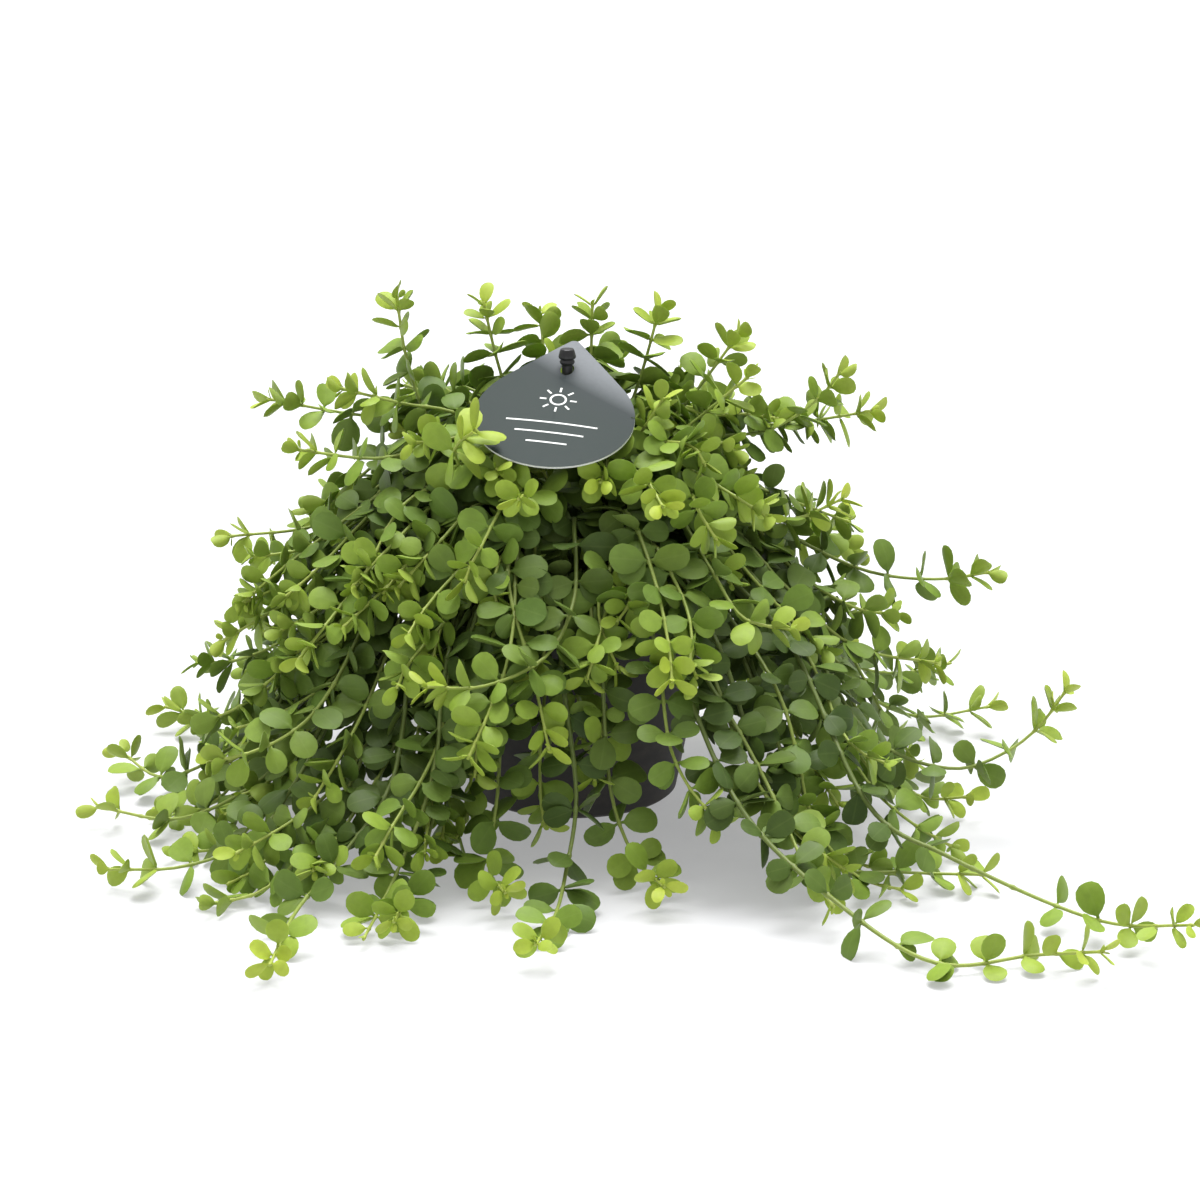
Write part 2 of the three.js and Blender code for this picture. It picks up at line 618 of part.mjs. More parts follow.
/** A stem's rings from root to tip, with the collars that its leaves grow from. */
function makeStem(layer, heading, through, index) {
  const route = makeRoute(layer, heading, through);
  const whorls = makeWhorls(route, LAYERS[layer].stretch, index);
  const up = new THREE.Vector3(0, 0, 1);
  const first = whorls[0];
  const thick = stemRadius(route.length);
  const deep = route.ground.clone().setZ(SOIL_TOP - ROOT_DEPTH);
  const rings = [
    ring(deep, up, route.across, first.turn, thick),
    ring(route.ground, up, route.across, first.turn, thick),
  ];
  let course = up;
  for (const whorl of whorls) {
    whorl.wanted = LEAVES_IN_WHORL[whorl.rank] ?? 0;
    const { centre, along, across, turn, radius } = whorl;
    if (whorl.wanted === 0 && along.angleTo(course) < STRAIGHT) continue;
    course = along;
    const half = whorl.wanted > 0 ? COLLAR / 2 : 0;
    const low = ring(centre.clone().addScaledVector(along, -half), along, across, turn, radius);
    rings.push(low);
    if (half === 0) continue;
    const high = ring(centre.clone().addScaledVector(along, half), along, across, turn, radius);
    rings.push(high);
    whorl.collar = rings.length - 2;
  }
  const apex = pointAt(route, route.length).addScaledVector(directionAt(route, route.length), 0.6);
  return { route, whorls, rings, apex, leaves: new Map() };
}

/** The faces of one side of a band between two rings. */
function bandSide(low, high, side) {
  const next = (side + 1) % 4;
  return [triangleOf(low[side], low[next], high[next]), triangleOf(low[side], high[next], high[side])];
}

/** The triangles of a stem, apart from the collar sides that its leaves take. */
function stemTriangles(stem) {
  const { rings, apex, leaves } = stem;
  const bottom = rings[0];
  const top = rings[rings.length - 1];
  const triangles = [
    triangleOf(bottom[0], bottom[3], bottom[2]),
    triangleOf(bottom[0], bottom[2], bottom[1]),
  ];
  for (let band = 0; band < rings.length - 1; band += 1) {
    for (let side = 0; side < 4; side += 1) {
      if (leaves.has(`${band} ${side}`)) triangles.push(...trianglesOf(leaves.get(`${band} ${side}`)));
      else triangles.push(...bandSide(rings[band], rings[band + 1], side));
    }
  }
  for (let side = 0; side < 4; side += 1) triangles.push(triangleOf(top[side], top[(side + 1) % 4], apex));
  return triangles;
}

/** The order in which a whorl's sides get their leaves: one, the one across from it, then the others. */
function sideOrder(rank) {
  const start = (rank >> 1) % 4;
  return [0, 2, 1, 3].map((side) => (side + start) % 4);
}

/** Grows the leaves of one whorl where they are clear of the thicket. */
function growLeaves(stem, whorl, thicket) {
  let left = whorl.wanted;
  for (const side of sideOrder(whorl.rank)) {
    if (left === 0) return;
    const low = stem.rings[whorl.collar];
    const high = stem.rings[whorl.collar + 1];
    const next = (side + 1) % 4;
    const corners = [low[next], high[next], high[side], low[side]];
    for (const turn of LEAF_TURNS) {
      const frame = leafFrame(whorl, whorl.slots[side], turn);
      if (frame.ahead.dot(frame.outward) < LEAF_MIN_OUTWARD) continue;
      const wide = leafShell(frame, corners, LEAF_MARGIN);
      if (!wide.points.slice(4).every(isOpen)) continue;
      if (thicket.blocks(trianglesOf(wide))) continue;
      const leaf = leafShell(frame, corners, 0);
      stem.leaves.set(`${whorl.collar} ${side}`, leaf);
      thicket.add(trianglesOf(leaf));
      left -= 1;
      break;
    }
  }
}

/** A stem with its leaves as one closed mesh. */
function makeSpray(name, stem) {
  const corners = stemTriangles(stem).flatMap((triangle) => triangle.corners);
  const numbers = new Map();
  const index = corners.map((corner) => {
    if (!numbers.has(corner)) numbers.set(corner, numbers.size);
    return numbers.get(corner);
  });
  const geometry = new THREE.BufferGeometry().setFromPoints([...numbers.keys()]);
  geometry.setIndex(index);
  geometry.computeVertexNormals();
  return piece(name, geometry, LOOKS.leaf);
}

/** The triangles of a finished piece, for the thicket. */
function pieceTriangles(mesh) {
  const position = mesh.geometry.attributes.position;
  const points = Array.from({ length: position.count }, (_, i) => (
    new THREE.Vector3().fromBufferAttribute(position, i)
  ));
  const index = Array.from(mesh.geometry.index.array);
  const faces = [];
  for (let i = 0; i < index.length; i += 3) faces.push(index.slice(i, i + 3));
  return trianglesOf({ points, faces });
}

/** All the stems, named by layer, with leaves where there is room for them. */
function makeSprays(others) {
  const thicket = new Thicket();
  for (const other of others) thicket.add(pieceTriangles(other));
  const stems = new Map();
  for (const [layer, plans] of Object.entries(STEMS)) {
    plans.forEach(([heading, ...through], i) => {
      const name = `${layer}_stem_${String(i + 1).padStart(2, '0')}`;
      stems.set(name, makeStem(layer, heading, through, stems.size));
    });
  }
  for (const stem of stems.values()) thicket.add(stemTriangles(stem));
  const longest = LEAVES_IN_WHORL.length;
  for (let rank = 0; rank < longest; rank += 1) {
    for (const stem of stems.values()) {
      const whorl = stem.whorls.find((one) => one.rank === rank && one.wanted > 0);
      if (whorl) growLeaves(stem, whorl, thicket);
    }
  }
  return {
    roots: [...stems.values()].map((stem) => stem.route.ground),
    sprays: [...stems].map(([name, stem]) => makeSpray(name, stem)),
  };
}

const label = makeLabel();
const stake = makeStake();
const { roots, sprays } = makeSprays([label, stake]);

const group = new THREE.Group();
group.add(makePot(), makeSoil(roots), stake, label, ...sprays);

export default group;
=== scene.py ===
"""A potted trailing peperomia as it looks: leafy stems, pot, soil, and a plant label on its stake.

Shapes are made in millimetres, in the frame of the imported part, and scaled to metres when they are finished.
"""

import math

import bmesh
import bpy
from mathutils import Matrix, Vector, kdtree, noise
from mathutils.bvhtree import BVHTree


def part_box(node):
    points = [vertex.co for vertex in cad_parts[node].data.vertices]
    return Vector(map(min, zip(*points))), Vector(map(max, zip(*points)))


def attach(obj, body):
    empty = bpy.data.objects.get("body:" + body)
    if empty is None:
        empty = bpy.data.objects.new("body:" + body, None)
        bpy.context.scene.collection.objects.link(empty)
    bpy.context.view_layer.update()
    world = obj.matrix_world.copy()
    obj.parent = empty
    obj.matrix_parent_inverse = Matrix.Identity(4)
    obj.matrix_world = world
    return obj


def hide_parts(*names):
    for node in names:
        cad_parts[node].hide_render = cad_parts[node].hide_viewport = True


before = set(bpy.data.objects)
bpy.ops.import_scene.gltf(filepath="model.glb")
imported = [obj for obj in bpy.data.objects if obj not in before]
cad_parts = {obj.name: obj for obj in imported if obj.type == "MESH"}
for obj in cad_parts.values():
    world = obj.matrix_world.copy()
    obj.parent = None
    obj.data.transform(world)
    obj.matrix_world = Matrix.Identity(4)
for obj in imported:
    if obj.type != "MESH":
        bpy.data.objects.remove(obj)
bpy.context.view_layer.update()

MM = 0.001
DEG = math.pi / 180
UP = Vector((0, 0, 1))

# Edges that turn by more than this are drawn hard, and points nearer than this are merged
SHARP_ANGLE = 50 * DEG
SAME_PLACE = 1e-4

# Camera, in metres: half a metre above the table top, tilted down onto the plant
CAMERA_PLACE = (0.011, -1.414, 0.5007)
CAMERA_TILT = 73.4 * DEG
CAMERA_LENS = 109.35

# Light: a room that is brighter overhead, a wide lamp above and a little behind the plant, and a table
# top with a painted glow that keeps the shadows on it pale, and that reaches this far each way
ROOM_LOW = 0.45
ROOM_HIGH = 0.95
LAMP_STRENGTH = 4.1
LAMP_ANGLE = 50 * DEG
LAMP_TURN = (-17 * DEG, 0, 0)
PAINTED_FLOOR_GLOW = 0.68
TABLE_REACH = 12000

# Pot, a 12 cm nursery pot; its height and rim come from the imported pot
POT_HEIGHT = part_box("pot")[1].z / MM
POT_RIM_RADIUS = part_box("pot")[1].x / MM
POT_BASE_RADIUS = 42
POT_WALL = 1.5
POT_FLOOR = 2
POT_COLLAR_HEIGHT = 12
POT_COLLAR_STEP = 1.6
POT_FOOT_CHAMFER = 1.5
POT_EDGE = 0.6
POT_SOFTENING = 0.3
POT_CREASE = 30 * DEG
POT_STEPS = 96
DRAIN_HOLES = 6
DRAIN_RADIUS = 4.5
DRAIN_RING_RADIUS = 30
DRAIN_STEPS = 32

# Soil plug with a crumbly top: the width and swing of its lumps, the sizes of its crumbs, and how far
# roots reach down into it and start above it
SOIL_TOP = 88
SOIL_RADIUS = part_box("soil")[1].x / MM
SOIL_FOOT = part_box("soil")[0].z / MM
SOIL_FOOT_RADIUS = POT_BASE_RADIUS - POT_WALL
SOIL_STEPS = 90
SOIL_RINGS = 20
SOIL_LUMPS = ((9, 1.1), (3.2, 0.6))
SOIL_SKIN = 1
SOIL_SETTLING = 6
SOIL_CRUMBS = 420
CRUMB_INSET = 3
CRUMB_LEAST = 0.5
CRUMB_SPREAD = 1.5
CRUMB_SHAPE = (1.4, 1, 0.7)
CRUMB_TURN = 6.3
CRUMB_AXIS_RISE = 0.4
CRUMB_RISE = 0.3
ROOT_DEPTH = 12
ROOT_RISE = 1

# Stake and label; the peg's head is a list of radius and drop from its top
STAKE_PLACE = Vector((-1.9, -12, 177.5))
STAKE_WIDTH = 5
STAKE_THICKNESS = 2.2
STAKE_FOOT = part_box("stake")[0].z / MM
STAKE_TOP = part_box("stake")[1].z / MM
STAKE_TIP = 9
STAKE_TIP_WIDTH = 1.6
STAKE_SHOULDER = 2.2
STAKE_EDGE = 0.35
PEG_NECK = 2.1
PEG_ROOT = 2
PEG_HEAD_HEIGHT = 6.5
PEG_HEAD = ((2.8, 5.9), (3.1, 5.1), (2.5, 4.3), (3.4, 3.7), (3.5, 2.9), (2.8, 0.4), (2.4, 0))
PEG_STEPS = 40
PEG_CREASE = 18 * DEG
PEG_EDGE = 0.3
LABEL_RADIUS = 31.5
LABEL_APEX = 47.5
LABEL_APEX_ROUND = 2.5
LABEL_THICKNESS = 0.8
LABEL_LEAN = 26 * DEG
LABEL_TURN = -10 * DEG
LABEL_SLOT = (2.7, 4.1)
LABEL_SLOT_DROP = 19
LABEL_BOW = 1.6
LABEL_CUTS = 12
LABEL_STEPS = 68
APEX_STEPS = 9
SLOT_STEPS = 48
PRINT_WIDTH = 0.8
PRINT_HEIGHT = 0.06
SUN_PLACE = (0, 9)
SUN_RADIUS = 3.4
SUN_STEPS = 40
SUN_RAYS = 8
SUN_RAY = (6, 2.6)
BARS = ((-5, 36), (-11, 27), (-17, 16))

# Stems, slimmer towards the tip, with a thicker joint at each whorl
STEM_RADIUS_ROOT = 1.35
STEM_RADIUS_TIP = 0.8
STEM_TAPER_LENGTH = 140
STEM_ROUND_SHARE = 0.7
STEM_SIDES = 8
STEM_STEP = 5
JOINT_HALF = 1.5
JOINT_SWELL = 1.45
BARE_LENGTH = 22
APEX_LENGTH = 1.6
APEX_SHARE = 0.5
PATH_SAMPLES = 240
PATH_STEP = 3
RIBBON_STEP = 4
RIBBON_WIDTH = 0.8

# The spaces between whorls, counted from the tip, and the last one again from there on
WHORL_SPACES = (7, 9, 11, 13, 14.5, 15.5)
WHORL_SIDES = 4
WHORL_TWIST = 45 * DEG
SPACE_SPREAD = 0.16
MATURE_WHORL = 4

# The green deepens over a length from the tip; painted light keeps it paler where stems trail far out
AGE_LENGTH = 100
PAINTED_LIGHT_REACH = (155, 235)
PAINTED_LIGHT_LEAST = 0.35

# Leaves: thick, blunt and widest past the middle, drooping, cupped, and turned to the light
LEAF_LENGTHS = (8, 9.5, 11, 12, 12.8, 13.2)
LEAF_WIDTH_YOUNG = 0.54
LEAF_WIDTH_MATURE = 0.84
LEAF_THICKNESS = 1.3
LEAF_OUTLINE = ((0.3, 0.64), (0.68, 1), (0.96, 0.52))
LEAF_CROWN = 0.56
LEAF_DROOP = 0.1
LEAF_CUP = 0.05
LEAF_SIZE_SPREAD = 0.24
LEAF_LEAN_SPREAD = 0.5
LEAF_SWAY_SPREAD = 24
LEAF_MIN_OUTWARD = 0.2
SHELL_BULGES = (0.3, -0.3)
SPREAD_YOUNG = 38 * DEG
SPREAD_MATURE = 83 * DEG
TURN_TO_LIGHT = 0.72
FACE_TO_TIP = 1.2
LIGHT_UP = 0.8
LIGHT_OUT = 0.6
POT_CLEARANCE = 0.9
FLOOR_CLEARANCE = 0.5
LOWEST = 0.1

# A blade's outline as shares of its length and width from the stalk to the tip, its cells across, how far
# the tip rounds out past its last row, half its thickness, the droop, cup and twist of each form, and how
# much of a leaf's tone is its own and how much is its stem's
LEAF_ROWS = (
    (0, 0.1), (0.09, 0.13), (0.19, 0.5), (0.32, 0.8), (0.5, 0.97), (0.68, 1), (0.85, 0.84), (0.96, 0.48),
)
LEAF_CELLS = 4
LEAF_TIP = 0.035
LEAF_FLESH = 0.05
LEAF_FORMS = (
    (0.1, 0.045, 0), (0.17, -0.03, 0), (0.06, 0.08, 0.05), (0.13, 0.02, -0.07), (0.26, 0.03, 0.04),
    (0, 0.09, -0.04),
)
TONE_OF_LEAF = 0.6
TONE_OF_STEM = 0.4

# Turns of a leaf on its stalk that are tried in this order: down, sideways, size
LEAF_TURNS = (
    (0, 0, 1), (16, 0, 1), (-16, 0, 1), (0, 20, 1), (0, -20, 1), (28, 14, 0.92), (-28, -14, 0.92),
    (0, 0, 0.74),
)
MORE_TURNS = LEAF_TURNS + (
    (10, 24, 0.94), (10, -24, 0.94), (-34, 0, 0.9), (36, 0, 0.9), (20, -30, 0.84), (20, 30, 0.84),
    (-14, 34, 0.74), (-14, -34, 0.74),
)

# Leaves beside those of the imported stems: the share that was lost, more of it where stems are old and
# where they trail far from the pot, the size of the inner pair at a tip, and how the leaves vary
LEAF_LOSS = 0.06
OLD_LOSS = 0.14
OLD_LENGTH = 140
TRAIL_LOSS = 0.6
TRAIL_REACH = 180
TRAIL_HEIGHT = 40
BUD_SIZE = 0.4
PITCH_SPREAD = 44
ROLL_SPREAD = 84
DROOP_OUT = 46
SCALE_LEAST = 0.86
SCALE_SPREAD = 0.22

# A packed leaf is found where its crown is this near to the place worked out for it
FOUND_WITHIN = 0.05

# How much larger a leaf is than its packed one, when it is young and when it is mature, and what single
# stems add to that
LENGTH_GAINS = (1.18, 1.04)
WIDTH_GAINS = (1.26, 0.96)
STEM_GAINS = {"upper_stem_09": 1.25, "skirt_stem_01": 0.9, "skirt_stem_03": 0.9}

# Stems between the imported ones, a round of them at a time: their layer, with a second one where they grow
# between two, the shortest and longest share of their neighbours' lengths, how far they are drawn in
# towards the pot, and the round's first and last heading; more of them grow to the left, where the plant
# is denser
FILL = (
    ("skirt", 0.62, 0.92, 0, 0, 250), ("skirt", 0.62, 0.92, 0, 285, 360),
    ("skirt", 0.5, 0.8, 0.1, 0, 230), ("skirt", 0.5, 0.8, 0.1, 300, 360), ("skirt", 0.3, 0.5, 0.1, 230, 300),
    ("skirt", 0.5, 0.68, 0.02, 235, 330),
    ("skirt", 0.74, 1, 0, 135, 245), ("skirt", 0.6, 0.95, 0, 135, 240),
    ("shoulder", 0.7, 0.98, 0, 0, 360), ("shoulder", 0.66, 0.95, 0.06, 0, 360),
    ("shoulder", 0.5, 0.8, 0.2, 0, 360), ("shoulder", 0.8, 1, 0, 130, 250), ("shoulder", 0.8, 1, 0, 130, 230),
    ("upper", 0.7, 0.98, 0, 0, 150), ("upper", 0.7, 0.98, 0, 200, 360), ("upper", 0.55, 0.85, 0.1, 0, 360),
    ("crown", 0.5, 0.8, 0, 0, 360),
    ("skirt", 0.5, 0.78, 0.04, 175, 240), ("shoulder skirt", 0.8, 0.98, 0, 150, 232),
)
FILL_STRETCH = 0.86
FILL_SHADED = 9
FILL_LONGEST = 230
FILL_NEAREST = 0.2
FILL_FIRST = 100
BETWEEN_POINTS = 9
WANDER = 26
SWAY = 13
SWAY_WAVES = 1.3
STEM_CLEARANCE = 4

# How the stems rise from the soil, by layer: the root's radius, radius and height along the rise, and
# how much the spaces between their whorls are stretched
LAYERS = {
    "skirt": (47, ((48.5, 100), (57, 112), (69, 107)), 1.15),
    "shoulder": (36, ((37, 108), (45, 125)), 1),
    "upper": (25, ((26, 114), (33, 138)), 0.85),
    "crown": (14, ((15, 112),), 0.75),
}

# Every stem: the heading of its root round the pot, 0 along +X and -90 at the front, then the points that
# it passes, the last one its tip
STEMS = {
    "skirt": (
        (
            -38, (82, -62, 84), (116, -122, 30), (140, -135, 20), (179, -156, 8), (199, -172, 7),
            (223, -201, 18),
        ),
        (-52, (58, -86, 82), (80, -118, 26), (100, -122, 10), (126, -114, 5), (157, -122, 7)),
        (
            -65, (40, -92, 82), (64, -136, 38), (95, -171, 17), (132, -204, 4.5), (167, -196, 4.5),
            (190, -211, 12),
        ),
        (-79, (12, -92, 78), (16, -105, 30), (24, -116, 12), (35, -148, 12)),
        (-92, (-4, -88, 84), (2, -112, 34), (-2, -135, 12), (-5, -160, 7), (-12, -205, 12)),
        (-105, (-25, -88, 80), (-28, -108, 34), (-31, -125, 12), (-24, -154, 12)),
        (-118, (-42, -82, 82), (-50, -108, 36), (-58, -132, 10), (-64, -178, 10)),
        (-131, (-60, -72, 84), (-68, -112, 40), (-86, -132, 18), (-100, -158, 8), (-106, -214, 8)),
        (-144, (-76, -56, 84), (-104, -88, 36), (-122, -108, 16), (-148, -116, 8), (-176, -124, 10)),
        (-158, (-88, -38, 82), (-112, -62, 34), (-152, -64, 9), (-189, -52, 9)),
        (-174, (-94, -14, 78), (-132, -28, 30), (-165, -19, 10), (-187, 8, 12)),
        (162, (-92, 28, 78), (-126, 44, 28), (-150, 58, 9), (-176, 72, 10)),
        (134, (-66, 68, 78), (-88, 96, 28), (-102, 126, 9), (-110, 158, 12)),
        (106, (-24, 92, 78), (-30, 120, 26), (-24, 148, 8), (-36, 186, 12)),
        (78, (22, 92, 78), (28, 118, 26), (42, 146, 9), (44, 180, 10)),
        (50, (60, 72, 78), (82, 98, 26), (98, 124, 9), (120, 150, 14)),
        (23, (86, 36, 78), (120, 50, 26), (146, 62, 9), (178, 66, 12)),
        (-20, (88, -34, 82), (118, -66, 42), (150, -66, 30), (170, -61, 35), (183, -57, 44), (194, -55, 59)),
        (-4, (92, -6, 80), (120, -26, 30), (138, -38, 9), (158, -46, 11)),
    ),
    "shoulder": (
        (8, (60, 8, 122), (88, 8, 104), (120, 4, 90), (148, 0, 88), (169, 0, 91)),
        (-27, (56, -28, 124), (84, -38, 96), (112, -34, 70), (146, -24, 60)),
        (-49, (40, -46, 128), (54, -72, 112), (66, -88, 98), (84, -93, 95)),
        (-67, (22, -54, 130), (32, -86, 112), (37, -108, 92), (38, -118, 82)),
        (-89, (1, -58, 126), (1, -84, 104), (-10, -106, 88), (-33, -116, 80), (-55, -117, 80)),
        (-109, (-20, -56, 128), (-24, -82, 112), (-14, -106, 80), (-8, -120, 56)),
        (-129, (-36, -46, 132), (-52, -64, 120), (-67, -77, 106)),
        (-148, (-50, -32, 130), (-80, -60, 106), (-104, -90, 82)),
        (-164, (-62, -18, 128), (-100, -36, 98), (-138, -44, 75)),
        (178, (-66, 2, 132), (-100, -6, 113), (-138, -8, 108)),
        (148, (-54, 34, 130), (-86, 54, 106), (-118, 76, 78)),
        (119, (-30, 54, 130), (-46, 86, 106), (-62, 122, 72)),
        (90, (0, 62, 130), (-2, 94, 108), (4, 132, 72)),
        (62, (29, 54, 130), (46, 84, 106), (62, 118, 74)),
        (33, (54, 34, 130), (86, 56, 106), (118, 80, 78)),
    ),
    "upper": (
        (-166, (-44, -10, 158), (-68, -12, 164), (-92, -12, 170)),
        (-148, (-44, -22, 150), (-76, -30, 146), (-108, -28, 149)),
        (158, (-46, 16, 150), (-84, 24, 150), (-124, 24, 157)),
        (4, (46, 0, 146), (78, 0, 150), (98, 3, 162), (107, 4, 173)),
        (26, (46, 20, 148), (84, 26, 146), (122, 24, 152)),
        (-20, (50, -16, 138), (84, -18, 118), (108, -16, 126)),
        (-98, (-8, -44, 136), (-16, -60, 140), (-20, -77, 142)),
        (-64, (20, -42, 146), (28, -60, 146), (35, -78, 139)),
        (-126, (-32, -36, 140), (-44, -48, 149), (-44, -56, 158), (-36, -60, 165)),
        (-42, (38, -34, 146), (56, -48, 140), (76, -60, 130)),
        (58, (28, 42, 156), (42, 66, 152), (60, 92, 138)),
        (92, (-2, 48, 158), (-2, 76, 152), (-4, 106, 136)),
        (126, (-30, 42, 156), (-46, 64, 152), (-66, 90, 140)),
    ),
    "crown": (
        (176, (-34, 4, 134), (-56, 7, 150), (-66, 9, 176), (-70, 10, 203)),
        (132, (-18, 16, 140), (-29, 22, 168), (-36, 25, 197)),
        (82, (4, 18, 140), (7, 26, 168), (8, 30, 196)),
        (42, (18, 16, 140), (28, 25, 168), (35, 30, 193)),
        (10, (24, 6, 136), (46, 14, 158), (67, 20, 185)),
        (-28, (24, -10, 136), (46, -10, 154), (70, -8, 174)),
        (108, (-10, 30, 152), (-12, 46, 172), (-14, 58, 186)),
        (-62, (14, -22, 138), (27, -28, 156), (36, -28, 170)),
    ),
}


# Random draws: the factor and the limit that give the next one, and the seed that each row of them starts
# from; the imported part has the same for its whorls
DRAW_FACTOR = 16807
DRAW_LIMIT = 2 ** 31 - 1
CRUMB_SEED = 907
WHORL_SEED = 4241
WHORL_SEED_STEP = 97
ROLL_SEED = 7703
FILL_SEED = 3307
LEAF_SEED = 5501


def seeded(seed):
    """Even draws between 0 and 1 that come out the same each time."""
    state = seed
    while True:
        state = state * DRAW_FACTOR % DRAW_LIMIT
        yield state / DRAW_LIMIT


# Helpers for materials

def colour(code):
    """An sRGB hex colour as the linear colour that a shader takes."""
    shares = [int(code[i:i + 2], 16) / 255 for i in (1, 3, 5)]
    return (*(s / 12.92 if s <= 0.04045 else ((s + 0.055) / 1.055) ** 2.4 for s in shares), 1)


def add(tree, kind, inputs=None, stops=(), **properties):
    """Adds a node with its properties, its inputs set or linked, and the stops of its ramp if it has one.

    A node that is given for an input is linked by its first output.
    """
    node = tree.nodes.new("ShaderNode" + kind)
    for name, value in properties.items():
        setattr(node, name, value)
    for name, value in (inputs or {}).items():
        if isinstance(value, bpy.types.Node):
            value = value.outputs[0]
        if isinstance(value, bpy.types.NodeSocket):
            tree.links.new(value, node.inputs[name])
        else:
            node.inputs[name].default_value = value
    for i, (place, code) in enumerate(stops):
        stop = node.color_ramp.elements[i] if i < 2 else node.color_ramp.elements.new(place)
        stop.position = place
        stop.color = colour(code)
    return node


def made_of(finish):
    """A material named for its finish, which adds the nodes for a place on the piece and returns the last."""
    material = bpy.data.materials.new(finish.__name__)
    material.use_nodes = True
    tree = material.node_tree
    tree.nodes.clear()
    surface = finish(tree, add(tree, "TexCoord").outputs["Object"])
    add(tree, "OutputMaterial", {0: surface})
    return material


# Finishes. A Mix of colours takes its share at 0 and the two colours at 6 and 7, and gives the outcome at
# 2. A MapRange takes a value at 0, its range at 1 and 2, and the range to bring it to at 3 and 4.

# Plant flesh, which light enters by about a millimetre
FLESH = {
    "IOR": 1.39,
    "Subsurface Weight": 0.12,
    "Subsurface Radius": (0.8, 1.2, 0.35),
    "Subsurface Scale": 0.9 * MM,
}


def fleshy_leaf(tree, place):
    """Leaf blade, thick and smooth-skinned, grown: satin, yellow-green when young, deep green when old."""
    age = add(tree, "Attribute", attribute_name="age").outputs["Fac"]
    tone = add(tree, "Attribute", attribute_name="tone").outputs["Fac"]
    under = add(tree, "Attribute", attribute_name="under").outputs["Fac"]
    across = add(tree, "SeparateXYZ", {0: add(tree, "UVMap", uv_map="blade")}).outputs["X"]
    # The age holds painted light too: leaves far from the pot are kept paler
    grown = add(tree, "ValToRGB", {0: age}, stops=(
        (0, "#A9BB46"), (1, "#455924"), (0.09, "#99AF3F"), (0.2, "#86A03B"), (0.42, "#6A8335"),
    ))
    # Blotches 3 mm wide, where the blade is a little paler
    blotch = add(tree, "TexNoise", {"Vector": place, "Scale": 1 / (3 * MM), "Detail": 3})
    shade = add(tree, "MapRange", {0: blotch, 1: 0.3, 2: 0.7, 3: 0.93, 4: 1.07})
    bright = add(tree, "MapRange", {0: tone, 3: 0.82, 4: 1.16})
    strength = add(tree, "Math", {0: shade, 1: bright}, operation="MULTIPLY")
    turn = add(tree, "MapRange", {0: tone, 3: 0.51, 4: 0.49})
    varied = add(tree, "HueSaturation", {"Hue": turn, "Value": strength, "Color": grown})
    # The underside is paler and greyer
    pale = add(tree, "Mix", {0: 0.3, 6: varied, 7: colour("#899953")}, data_type="RGBA")
    sided = add(tree, "Mix", {0: under, 6: varied, 7: pale.outputs[2]}, data_type="RGBA")
    # A midrib, hardly seen as a paler line, about 0.4 mm wide
    off_rib = add(tree, "Math", {0: across, 1: 0.5}, operation="SUBTRACT")
    from_rib = add(tree, "Math", {0: off_rib}, operation="ABSOLUTE")
    rib = add(tree, "MapRange", {
        0: from_rib, 1: 0.015, 2: 0.05, 3: 0.05, 4: 0,
    }, interpolation_type="SMOOTHSTEP")
    ribbed = add(tree, "Mix", {0: rib, 6: sided.outputs[2], 7: colour("#A3B56B")}, data_type="RGBA")
    # Cells 0.5 mm across, coarser than the real ones so that they show, and the rib's groove
    grain = add(tree, "TexNoise", {"Vector": place, "Scale": 1 / (0.5 * MM), "Detail": 2})
    groove = add(tree, "Math", {0: grain, 1: rib}, operation="SUBTRACT")
    bump = add(tree, "Bump", {"Strength": 0.25, "Distance": 0.12 * MM, "Height": groove})
    gloss = add(tree, "MapRange", {0: blotch, 3: 0.42, 4: 0.56})
    return add(tree, "BsdfPrincipled", {
        "Base Color": ribbed.outputs[2],
        "Roughness": gloss,
        "Specular IOR Level": 0.36,
        "Normal": bump,
        **FLESH,
    })


def stem_skin(tree, place):
    """Stem skin, smooth and juicy, grown: pale green with a soft gloss, duller towards the root."""
    age = add(tree, "Attribute", attribute_name="age").outputs["Fac"]
    # The age holds painted light too: stems far from the pot are kept paler
    grown = add(tree, "ValToRGB", {0: age}, stops=(
        (0, "#A9B658"), (1, "#65743A"), (0.3, "#92A34C"), (0.65, "#7C8B42"),
    ))
    # Streaks of 2 mm
    streak = add(tree, "TexNoise", {"Vector": place, "Scale": 1 / (2 * MM), "Detail": 3})
    shade = add(tree, "MapRange", {0: streak, 1: 0.3, 2: 0.7, 3: 0.9, 4: 1.08})
    varied = add(tree, "HueSaturation", {"Value": shade, "Color": grown})
    bump = add(tree, "Bump", {"Strength": 0.3, "Distance": 0.1 * MM, "Height": streak})
    return add(tree, "BsdfPrincipled", {
        "Base Color": varied,
        "Roughness": 0.42,
        "Normal": bump,
        **FLESH,
    })


